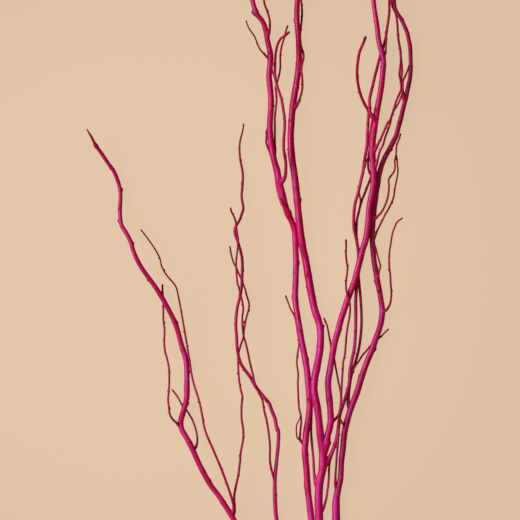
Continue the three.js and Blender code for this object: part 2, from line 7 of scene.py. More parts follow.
import json
import logging
import math
from collections.abc import Sequence
from dataclasses import dataclass, field
from enum import Enum

import bpy
import numpy as np
from bpy.types import Collection, Material, Mesh, Node, NodeSocket, Object
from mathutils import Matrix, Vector
from mathutils.kdtree import KDTree

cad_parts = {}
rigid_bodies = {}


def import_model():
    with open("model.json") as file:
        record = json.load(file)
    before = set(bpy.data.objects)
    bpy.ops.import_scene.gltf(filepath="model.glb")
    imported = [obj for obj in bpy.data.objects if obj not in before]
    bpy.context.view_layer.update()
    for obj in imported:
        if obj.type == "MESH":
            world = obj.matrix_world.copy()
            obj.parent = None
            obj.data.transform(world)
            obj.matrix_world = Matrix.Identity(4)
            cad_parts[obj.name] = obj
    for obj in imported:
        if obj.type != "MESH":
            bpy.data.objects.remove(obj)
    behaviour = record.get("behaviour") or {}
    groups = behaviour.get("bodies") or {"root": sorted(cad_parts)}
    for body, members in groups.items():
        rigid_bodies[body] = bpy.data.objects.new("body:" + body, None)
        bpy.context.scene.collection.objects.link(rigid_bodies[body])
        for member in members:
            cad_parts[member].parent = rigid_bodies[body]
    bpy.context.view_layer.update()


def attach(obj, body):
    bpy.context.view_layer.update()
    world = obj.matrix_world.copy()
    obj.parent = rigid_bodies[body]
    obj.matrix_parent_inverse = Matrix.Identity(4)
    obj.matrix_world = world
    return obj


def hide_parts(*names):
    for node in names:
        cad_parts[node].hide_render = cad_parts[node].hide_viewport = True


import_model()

# The routes below are in millimetres from an origin of their own. MIDDLE is the middle of the bunch there.
MM = 0.001
MIDDLE = np.array([-58.5, 264.8, 0.0])

# The skin keeps this far clear of the surface, in metres.
CLEAR_OF_SURFACE = 0.0001

Colour = tuple[float, float, float]
Point = tuple[float, float, float]

log = logging.getLogger("willow")


# ---------- what a branch is ----------


class Side(Enum):
    """Which way a mark faces, as a direction across the bunch."""

    LEFT = (-1.0, 0.0, 0.25)
    RIGHT = (1.0, 0.0, 0.25)
    TOP = (0.0, 0.0, 1.0)


class Kind(Enum):
    """What a mark on the bark is."""

    BUD = "bud"
    SCAR = "scar"
    KNOT = "knot"
    PEG = "peg"


class Skin(Enum):
    """How finely bark is divided: a branch's least thickness in mm, its sides, and its ring spacing in mm."""

    LEADER = (5.0, 22, 2.4)
    SHOOT = (2.6, 16, 1.8)
    TWIG = (0.0, 12, 1.5)

    @classmethod
    def for_thickness(cls, thickness: float) -> "Skin":
        """Choose the skin for a branch.

        Args:
            thickness: the branch's greatest thickness, in mm.

        Returns:
            The first skin that the branch is thick enough for.
        """
        return next(skin for skin in cls if thickness >= skin.value[0])


@dataclass(frozen=True)
class Mark:
    """A bud, leaf scar, knot or broken peg at a known place on a branch.

    Attributes:
        kind: what it is.
        near: x and y of the place, in the routes' mm. It goes to the nearest point of the branch.
        side: which way it faces.
        size: how big it is, against the usual one of its kind.
    """

    kind: Kind
    near: tuple[float, float]
    side: Side = Side.TOP
    size: float = 1.0


@dataclass(frozen=True)
class Branch:
    """One branch with everything that grows on it.

    Attributes:
        girth: pairs of a share of its length and its thickness there, in mm.
        route: the points along its middle, in mm.
        shoots: the branches that grow on it. A shoot's first point is pulled onto this branch's middle.
        marks: the buds, scars, knots and pegs whose places are known.
    """

    girth: Sequence[tuple[float, float]]
    route: Sequence[Point]
    shoots: Sequence["Branch"] = ()
    marks: Sequence[Mark] = ()


def twig(butt: float, tip: float, route: Sequence[Point], shoots: Sequence[Branch] = ()) -> Branch:
    """Make a branch that tapers evenly.

    Args:
        butt: its thickness where it leaves its parent, in mm.
        tip: its thickness at the tip, in mm.
        route: the points along its middle, in mm.
        shoots: the branches that grow on it.

    Returns:
        The branch.
    """
    return Branch([(0, butt), (1, tip)], route, shoots)


# ---------- the five stems ----------


def left_plan() -> Branch:
    """Return the stem that leans out to the left."""
    return Branch(
        girth=[
            (0, 8.2), (0.38, 6.6), (0.585, 6.8), (0.69, 6.1), (0.885, 4.8), (0.95, 4.7), (0.985, 3.2),
            (1, 1.5),
        ],
        route=[
            (-30, -300, 4.1), (-25, -250, 4.1), (-28, -200, 4.1), (-27, -150, 4.3), (-35, -108, 5),
            (-42, -75, 6), (-55, -43, 7), (-67, -20, 8), (-79, 0, 9), (-90, 18, 11), (-98, 30, 12),
            (-107, 42, 14), (-120, 66, 18), (-131, 90, 20), (-137, 101, 19), (-142, 110, 17),
            (-143, 118, 16), (-140, 130, 13), (-136, 146, 10), (-135.6, 165, 7), (-136, 185, 5),
            (-138, 197, 4), (-142, 209, 3.6), (-147, 228, 4.5), (-151, 239, 5.5), (-161, 259, 9),
            (-173, 279, 13), (-188, 300, 16), (-195, 312, 17), (-200, 324, 17), (-203, 334, 17),
            (-208, 344, 16), (-214, 354, 13), (-216, 370, 9), (-215.5, 384, 6), (-216, 397, 5),
            (-223, 418, 7), (-230, 428, 10), (-238, 440, 14), (-245, 450, 18), (-249, 458, 22),
            (-255, 468.5, 27),
        ],
        shoots=[
            twig(3.2, 1.8, [
                (-81.5, 5, 9), (-79.5, 14, 13), (-81.5, 25, 17), (-84.5, 35, 20), (-93.5, 60, 23),
                (-103.5, 84, 26), (-113.5, 108, 26), (-117.5, 128, 23), (-120.5, 142, 19),
                (-128.5, 168, 14), (-132.5, 192, 12), (-136.5, 216, 13), (-141.5, 246, 18),
                (-145.5, 268, 25), (-148.5, 280, 29), (-153.5, 287, 32), (-159.5, 294, 35),
                (-165.5, 305, 39), (-167.5, 314, 42), (-172.5, 324, 46), (-180.5, 336, 51),
                (-189.5, 348, 57),
            ]),
            twig(3.1, 2.1, [
                (-80, 3, 9), (-78.5, 14, 9.5), (-79, 28, 11.5), (-77, 40, 14), (-74, 54, 16), (-72, 70, 17),
                (-71, 82, 17), (-68, 98, 16), (-68, 108, 15), (-70, 122, 13), (-70, 138, 10), (-69, 148, 8),
                (-71, 156, 7), (-73, 168, 5), (-74, 182, 4), (-74, 198, 2.6), (-71, 210, 2.4),
                (-68, 219, 2.4), (-67, 229, 3), (-65, 240, 3.2), (-61, 258, 3), (-64, 270, 2.6),
                (-66, 278, 2.4), (-70, 288, 2.3), (-73, 295, 2.3), (-76, 302, 2.4), (-80, 310, 4),
                (-82, 317, 7), (-84, 328, 12),
            ]),
            twig(2.6, 2.1, [
                (-131, 83, 19), (-127, 85, 18), (-124, 90, 17), (-123, 96, 16), (-124, 105, 13),
                (-127, 115, 10), (-130, 122, 7), (-136, 131.5, 5), (-142, 139, 4), (-147, 148, 5),
                (-153, 156, 7),
            ]),
            twig(2.6, 2.5, [
                (-142, 111, 17), (-148, 117, 20), (-153, 122, 23), (-156, 128, 25), (-157, 136, 26),
                (-158, 146, 25), (-157, 157, 22), (-157, 181, 16), (-159, 192, 13), (-162, 203, 10),
                (-163, 214, 8), (-162.5, 228, 6), (-164, 240, 4), (-164, 254, 3), (-164, 266, 2.8),
                (-165, 273, 4), (-165, 282, 8),
            ]),
        ],
        marks=[
            Mark(Kind.BUD, (-212, 398), Side.RIGHT), Mark(Kind.BUD, (-218, 358), Side.LEFT),
            Mark(Kind.BUD, (-200, 332), Side.RIGHT), Mark(Kind.BUD, (-148, 236), Side.RIGHT),
            Mark(Kind.SCAR, (-143, 203)), Mark(Kind.BUD, (-134, 139), Side.RIGHT),
            Mark(Kind.SCAR, (-119, 58)), Mark(Kind.KNOT, (-245, 450), size=2.3),
        ],
    )


def slender_plan() -> Branch:
    """Return the thinnest leader, second from the left."""
    return Branch(
        girth=[
            (0, 6.9), (0.36, 5.3), (0.47, 4.4), (0.555, 4.5), (0.61, 3.9), (0.78, 3.7), (0.9, 3.2),
            (1, 1.9),
        ],
        route=[
            (-17, -285, 3.5), (-13, -240, 3.5), (-14, -200, 3.5), (-11, -155, 3.5), (-16, -110, 3.5),
            (-24, -70, 3.6), (-28, -35, 4), (-28, 0, 5), (-29, 8, 5.5), (-30, 28, 7), (-30, 49, 9),
            (-28, 71, 11), (-26, 92, 12), (-26, 108, 12), (-28, 112, 12), (-30, 122, 10), (-34, 132, 8),
            (-37, 140, 6), (-42, 146, 5), (-47, 152, 4), (-53, 160, 4), (-60, 172, 5), (-66, 180, 6),
            (-71, 188, 8), (-74, 198, 10), (-75.5, 208, 11), (-76, 220, 12), (-77, 236, 12), (-75, 256, 12),
            (-72, 268, 12), (-70, 280, 11.5), (-69.5, 292, 11), (-69, 302, 10), (-69.5, 314, 9),
            (-71.5, 324, 9), (-75, 335, 9), (-78, 344, 8.5), (-78, 350, 8), (-75.5, 355, 8), (-72, 361, 8),
            (-70, 367, 7.5), (-68, 374, 7), (-69.5, 384, 5.5), (-70, 390, 5), (-69, 402, 3.5),
            (-68.5, 414, 2.4), (-69.5, 422, 2.2), (-71.5, 432, 3), (-72.5, 444, 5), (-72, 454, 7),
            (-70, 462, 9), (-68.5, 468, 11), (-67.5, 475, 14),
        ],
        shoots=[
            twig(2.8, 2.3, [
                (-30, 46, 9), (-34, 60, 13), (-36, 72, 16), (-36, 90, 18), (-38, 108, 18), (-40, 120, 17),
                (-43, 132, 16), (-45, 144, 15), (-50, 154, 14), (-54, 163, 14), (-56.5, 175, 14),
                (-59, 185, 15), (-61, 194, 16), (-63, 204, 17), (-65.5, 214, 17), (-68, 223, 18),
                (-69, 234, 18), (-69, 245, 18), (-68, 253, 18), (-69, 262, 18), (-71, 270, 18),
                (-73, 278, 18), (-75, 285, 18), (-76, 296, 17), (-76.5, 310, 16), (-75, 324, 15),
                (-74, 336, 15), (-75, 343, 14), (-76, 350, 14), (-77, 358, 15), (-79, 364, 18),
                (-82, 370, 21), (-83, 374, 24),
            ]),
        ],
        marks=[Mark(Kind.BUD, (-29, 108), Side.LEFT)],
    )


def middle_plan() -> Branch:
    """Return the long wavy stem in the middle."""
    return Branch(
        girth=[
            (0, 9.4), (0.27, 8.1), (0.41, 7.6), (0.51, 7.2), (0.62, 7.4), (0.73, 7), (0.8, 5.7), (0.9, 4),
            (1, 1.7),
        ],
        route=[
            (6, -318, 4.7), (7, -270, 4.7), (2, -220, 4.6), (3, -170, 4.6), (0, -125, 4.5), (5, -80, 4.4),
            (11, -40, 4.3), (13.7, 0, 4.2), (12.4, 12, 4.2), (11, 24, 4.2), (9.5, 36, 4.2), (8, 60, 5),
            (6, 84, 7), (7, 96, 8), (8, 108, 9), (10, 120, 10), (11.5, 134, 10), (11.5, 144, 10),
            (10, 162, 9.5), (8.5, 180, 9), (6.5, 192, 8.5), (4.5, 204, 8.5), (2, 216, 8.5), (-2, 240, 7.5),
            (-5.5, 265, 5), (-5, 288, 3.9), (-4.5, 310, 3.9), (-5, 324, 3.8), (-6.5, 348, 4.4),
            (-9.5, 358, 6), (-14, 367, 8), (-17, 376, 9), (-19, 384, 10), (-22, 396, 11), (-25.5, 410, 12),
            (-27, 420, 12), (-30, 428, 12), (-32, 437, 12), (-34, 448, 11.5), (-35.5, 460, 10),
            (-36, 474, 8), (-35, 492, 5), (-34.5, 505, 3.9), (-36, 522, 3.8), (-37, 532, 3.8),
            (-36.5, 541, 4), (-35.5, 550, 4.5), (-35.5, 560, 5), (-38.5, 574, 6), (-41, 588, 7),
            (-45, 599, 8), (-51.5, 607, 9), (-55, 616, 9), (-57, 624, 8), (-63, 644, 5), (-62, 664, 3.4),
            (-71, 682, 2.7), (-83, 698, 2.6), (-86, 716, 3), (-80, 734, 5), (-81, 752, 8), (-92, 766, 12),
            (-100, 782, 16), (-96, 800, 20), (-94, 818, 26), (-102, 834, 34),
        ],
        shoots=[
            twig(4.1, 3, [
                (-24, 403, 11), (-18, 412, 16), (-17, 420, 19), (-17, 428, 21), (-18, 436, 23),
                (-19.5, 444, 24), (-19.5, 456, 25), (-18.5, 470, 26), (-18.5, 482, 25), (-20, 492, 24),
                (-22, 504, 22), (-24.5, 512, 20), (-27, 520, 18), (-29, 527, 17), (-30, 535, 17),
                (-30, 545, 18), (-29.5, 557, 21), (-28, 566, 26), (-26, 572, 30), (-23, 577, 34),
                (-18, 580, 38), (-13.5, 584, 43),
            ], [
                twig(2.1, 1.7, [
                    (-29, 527, 17), (-32, 535, 17), (-33.5, 542, 19), (-32.5, 548, 22),
                ]),
            ]),
            twig(2.8, 2.3, [
                (-32, 434, 12), (-30, 444, 9), (-30, 452, 8), (-30, 468, 6), (-30, 484, 5), (-29, 494, 5),
                (-28, 504, 5), (-28.5, 512, 5.5), (-29, 519, 6), (-27, 527, 7), (-25, 534, 8),
                (-23.5, 544, 10), (-23.5, 558, 13), (-22, 568, 16), (-20, 575, 18), (-18, 581, 20),
                (-17, 586, 23), (-15, 592, 28),
            ]),
            Branch(
                girth=[
                    (0, 4.2), (0.35, 4), (0.55, 3.2), (1, 2.2),
                ],
                route=[
                    (-12, 363, 8), (-13.5, 371, 13), (-17.5, 374.5, 14), (-21.2, 379, 13.5),
                    (-23.6, 386, 11.5), (-26, 394, 8.5), (-27.6, 403, 6), (-28.8, 412, 4.5),
                    (-32.2, 428, 3.6), (-35.5, 440, 3.8), (-38, 446, 4.6), (-40.4, 453, 6), (-40.3, 460, 7),
                    (-39.8, 467, 6), (-38.2, 473, 3.4), (-37.5, 478, 2),
                ],
            ),
            twig(2.2, 1.7, [
                (-36, 552, 4.6), (-39.5, 556, 7), (-43.5, 560, 10), (-48.5, 566, 14), (-51.5, 573, 18),
                (-54.5, 580, 22), (-58, 585, 26), (-61.5, 590, 31), (-64.5, 598, 38),
            ]),
            twig(2.9, 2, [
                (-39, 577, 6.5), (-36.5, 588, 12), (-36, 594, 15), (-36.5, 601, 18), (-39.5, 611, 20),
                (-42.5, 619, 22), (-43.5, 626, 22), (-44.5, 640, 21), (-38.5, 654, 21), (-31.5, 668, 23),
                (-34.5, 684, 26), (-41.5, 696, 30), (-38.5, 710, 36),
            ]),
            twig(2.6, 2, [
                (4, 89, 7.5), (0.5, 96, 10), (0.5, 106, 13), (1.5, 118, 14), (1, 126, 14), (-1, 134, 13),
                (-2, 150, 12), (-2.5, 165, 10), (-2, 175, 8), (-3.5, 186, 6), (-3.5, 194, 4.5),
                (-2, 204, 3), (-1, 212, 2), (-3, 226, 1.5), (-5, 239, 1.6), (-7, 246, 2.2), (-11, 253, 3.5),
                (-14, 261, 6), (-17, 269, 9),
            ], [
                twig(1.9, 1.6, [
                    (0.3, 96, 10), (-3, 98.5, 13), (-4.3, 107, 17), (-4, 114, 20), (-2, 119, 21),
                    (1, 124, 20),
                ]),
            ]),
            twig(2.7, 1.7, [
                (-62, 664, 3.4), (-54, 676, 8), (-50, 692, 13), (-56, 708, 17), (-53, 724, 20),
                (-44, 738, 24), (-42, 752, 30),
            ]),
            twig(2.3, 1.6, [
                (-86, 716, 3), (-96, 726, 8), (-106, 738, 12), (-107, 754, 18), (-116, 766, 26),
            ]),
            twig(4.8, 3.2, [
                (-49, 603, 8.5), (-53.5, 607.5, 8.8), (-56.4, 610.5, 9),
            ]),
        ],
        marks=[
            Mark(Kind.BUD, (-1, 308), Side.RIGHT), Mark(Kind.BUD, (-9, 268), Side.LEFT),
            Mark(Kind.BUD, (10, 192), Side.RIGHT), Mark(Kind.KNOT, (-54, 610)),
        ],
    )


def thick_plan() -> Branch:
    """Return the thickest stem, with its long fork to the right."""
    return Branch(
        girth=[
            (0, 11.8), (0.27, 9.8), (0.36, 9), (0.45, 8.6), (0.5, 8.9), (0.6, 8.4), (0.69, 7.8),
            (0.79, 6.3), (0.9, 4), (1, 1.6),
        ],
        route=[
            (18, -330, 5.9), (21, -275, 5.9), (17, -220, 5.8), (18, -170, 5.7), (16, -120, 5.5),
            (19, -75, 5.4), (22, -35, 5.5), (23, 0, 6), (22.5, 18, 7), (23, 36, 8), (24, 48, 9),
            (27, 60, 10.5), (27.5, 72, 12), (27, 84, 13), (25, 98, 15), (24, 108, 17), (22.5, 122, 19),
            (21, 134, 20), (19, 144, 20), (17, 156, 20), (17.5, 170, 18.5), (20, 182, 16.5), (22, 192, 15),
            (24, 204, 12.5), (25, 217, 10), (24.5, 229, 8), (22, 240, 6.5), (18, 252, 5.3),
            (14.5, 268, 4.8), (12, 282, 4.7), (9, 300, 4.7), (6.5, 314, 4.6), (3, 330, 7.4), (1, 344, 9.5),
            (-1.5, 366, 11), (-4, 392, 11.5), (-7, 418, 12), (-9, 430, 12), (-10.5, 446, 11), (-11, 462, 9),
            (-10, 479, 7), (-9, 492, 5.8), (-7, 507, 4.6), (-4.5, 522, 4.1), (-2, 540, 4), (-1, 550, 4.5),
            (-1, 562, 6), (-1.5, 576, 8), (-2.5, 588, 9), (-3.5, 600, 9), (-3.5, 612, 8), (-3, 624, 6.5),
            (-2, 644, 4), (5, 662, 3.2), (5, 682, 2.9), (-5, 698, 3), (-10, 716, 5), (-5, 734, 8),
            (6, 748, 10), (8, 766, 12), (0, 782, 14), (-6, 798, 17), (-2, 816, 20), (8, 830, 24),
            (10, 848, 30), (4, 862, 36),
        ],
        shoots=[
            Branch(
                girth=[
                    (0, 7.8), (0.26, 7.5), (0.34, 7.5), (0.49, 7.8), (0.65, 6.6), (0.73, 5.6), (1, 1.9),
                ],
                route=[
                    (26.5, 66, 11), (28, 76, 12), (31, 88, 13), (33, 101, 14.5), (35.5, 110, 15),
                    (37, 119, 15), (36.5, 132, 14), (35.5, 144, 13), (34, 158, 11.5), (34, 168, 11),
                    (36, 180, 11), (38, 192, 11), (40, 204, 11.5), (42.5, 216, 12), (46, 228, 12),
                    (49, 240, 12), (53, 252, 12), (57, 264, 12.3), (61.5, 276, 13), (66, 288, 13.5),
                    (69, 300, 14), (72, 312, 14), (75, 324, 14), (79, 336, 13.5), (81, 348, 13),
                    (82, 360, 13), (83, 372, 13.2), (84, 380, 13.4), (87, 394, 13.8), (88.5, 404, 14.1),
                    (88.7, 412, 14), (88.3, 422, 13), (87, 436, 12.5), (87, 446, 12.4), (87.5, 456, 11.8),
                    (89, 468, 10.6), (91, 480, 10), (93, 494, 9.4), (95, 504, 9), (97.5, 519, 9),
                    (99, 532, 9.5), (100.3, 548, 10), (99.5, 557, 10), (97, 566, 9.5), (94.5, 576, 8.5),
                    (93, 590, 7), (91, 604, 5), (89, 618, 3.8), (88, 628, 3.4), (84, 643, 3),
                    (86, 660, 2.8), (96, 676, 3.2), (100, 692, 4), (94, 708, 5), (87, 722, 5), (88, 738, 4),
                    (98, 752, 3), (103, 768, 4), (98, 784, 8), (92, 798, 12), (96, 812, 18),
                ],
                shoots=[
                    twig(2.7, 2.1, [
                        (37, 115, 15), (42, 121, 12), (46, 126, 9.5), (48.6, 136, 8), (49.3, 146, 7.5),
                        (48.8, 154, 7.5), (46.4, 165, 7), (44.4, 176, 6), (42.6, 186, 4), (41, 196, 3),
                        (39, 204, 2.5), (37, 211, 2.5), (35, 222, 4), (33, 232, 6), (30.5, 239, 8),
                        (29, 242, 10),
                    ]),
                    twig(3, 2.5, [
                        (88, 438, 12), (90.5, 445, 15), (94, 452, 17), (97, 458, 19), (100.5, 466, 21),
                        (104, 474, 23), (108, 480, 24), (110, 486, 24), (112, 492, 24), (115, 502, 24),
                        (118.5, 510, 23), (121, 517, 22), (120.5, 526, 22), (119, 535, 22), (120, 544, 23),
                        (121, 551, 25),
                    ]),
                    twig(2.8, 2.3, [
                        (88, 419, 13.5), (91, 425, 15), (93.5, 434, 16), (96, 443, 16), (99.5, 450, 16),
                        (102.5, 460, 16), (105.5, 468, 16), (108, 475, 15.5), (109.5, 482, 15),
                        (112, 490, 15), (115, 495, 15), (118, 500, 15), (121, 507, 15), (123, 514, 15),
                        (123.5, 522, 15), (124, 528, 15), (126.5, 533, 14), (128.5, 538, 13),
                        (131, 545, 12.5),
                    ]),
                    twig(4, 2.4, [
                        (91, 477, 10), (89, 481, 12), (87, 484, 13), (84, 490, 14), (83.5, 498, 14),
                        (83.5, 505, 14), (85, 512, 13), (87.5, 522, 11), (90, 533, 9), (92.5, 542, 7),
                        (95, 552, 4.6), (97.5, 561, 3.4), (100, 567, 3.4), (101.4, 572.4, 4.4),
                        (103, 579, 5.5), (104.2, 587, 7), (105.2, 594, 8.5), (106.3, 601.5, 10),
                        (107.1, 609, 12), (107.2, 617, 13.5), (107.2, 625, 15), (110, 636, 16),
                        (117, 648, 17), (120, 662, 17), (116, 676, 16), (117, 690, 16), (126, 700, 18),
                        (130, 712, 22),
                    ]),
                    twig(2.4, 1.7, [
                        (99.4, 552, 9.8), (102.4, 560.4, 9.4), (103.2, 566.4, 9), (103.8, 572.4, 9),
                        (104.4, 579, 9.4),
                    ]),
                    twig(2.6, 1.6, [
                        (86, 660, 2.3), (76, 670, 6), (70, 684, 12), (74, 700, 16), (70, 716, 20),
                    ]),
                ],
            ),
            Branch(
                girth=[
                    (0, 5), (0.08, 4.7), (0.12, 3.9), (0.145, 4.3), (0.25, 4.1), (0.6, 3.9), (1, 3.4),
                ],
                route=[
                    (27, 63, 10.5), (32, 69, 11), (36, 76, 11), (41.5, 89, 11), (44.6, 100, 11.5),
                    (46.3, 112, 12.5), (47.4, 124, 13), (50, 134, 13), (54, 145, 12), (57.5, 156, 11),
                    (59.6, 167, 10.5), (60, 178, 10), (62, 190, 10), (65, 204, 11), (66.5, 222, 12),
                    (67, 242, 12), (67, 264, 10), (68, 278, 8.7), (69.5, 294, 7.6), (70.2, 308, 7.2),
                    (70.2, 322, 7.6), (67.5, 338, 9), (65, 350, 11), (64.5, 360, 13), (65, 372, 15),
                    (66.5, 382, 16), (69, 390, 16.3), (71, 398, 16), (73, 407, 15.5), (75, 415, 14.5),
                    (76.5, 424, 13), (77.5, 432, 11), (79, 440, 8.4), (80.5, 449, 5.6), (81, 462, 4),
                    (82, 480, 3.6), (82.3, 491, 3.6), (79, 497, 5), (75.5, 504, 8), (73, 510, 11),
                    (70, 521, 16), (68.5, 533, 21), (68.5, 542, 25), (69.5, 552, 29), (71.5, 562, 33),
                    (75, 570, 37), (78, 578, 42),
                ],
                shoots=[
                    twig(2.7, 2.1, [
                        (60, 169, 10.4), (63, 178, 9.6), (66, 184, 9), (71, 191, 6.5), (75.5, 198, 4),
                        (80, 203, 2.6), (83.5, 207.5, 2), (88, 212, 1.7), (93, 216, 2.2), (97, 220, 4),
                        (102, 225, 7), (106, 229, 11),
                    ]),
                    twig(2.2, 1.7, [
                        (76.5, 421, 13.4), (78, 425, 15.5), (79.3, 430, 17), (81, 434, 19),
                    ]),
                ],
            ),
            twig(3, 2.2, [
                (-8, 489, 6), (-5, 496, 8), (-2, 501, 10), (0.5, 508, 12), (2.5, 516, 13), (3, 524, 12),
                (2.5, 533, 10), (1.7, 541, 8.5), (2.8, 548, 7), (4.5, 556, 6), (3.8, 562, 4.8),
                (2, 567, 3.4), (0.5, 576, 2.1), (0.5, 586, 1.9), (2, 598, 2.3), (2.6, 607, 4),
                (2.2, 617, 6.5), (1.4, 624, 9.5), (4, 638, 11), (12, 650, 12), (15, 664, 13), (10, 678, 15),
                (11, 692, 18), (19, 704, 22), (22, 718, 27),
            ]),
            twig(3.4, 2.6, [
                (22.5, 31, 7.7), (18.5, 47, 8), (17, 57, 7.5), (16.3, 72, 6), (15, 86, 4.2), (14, 98, 3),
                (13.5, 108, 2.2), (14, 120, 1.8), (14.5, 137, 1.8),
            ]),
            twig(3.1, 2.5, [
                (23, 2, 6), (29, 17, 8), (31.5, 25, 9), (33, 35, 9.5), (34.5, 47, 8.5), (35, 57, 6),
                (35.5, 66, 4), (37, 73, 2.6),
            ]),
        ],
        marks=[
            Mark(Kind.BUD, (-7, 600), Side.LEFT), Mark(Kind.PEG, (-15, 444), Side.LEFT, 1.1),
            Mark(Kind.PEG, (-14, 435), Side.LEFT, 0.95), Mark(Kind.BUD, (2, 385), Side.RIGHT, 1.2),
            Mark(Kind.SCAR, (2, 332)), Mark(Kind.BUD, (8, 280), Side.LEFT),
            Mark(Kind.BUD, (29, 233), Side.RIGHT, 1.2),
            Mark(Kind.SCAR, (16, 184)), Mark(Kind.SCAR, (23, 49), size=1.4),
        ],
    )


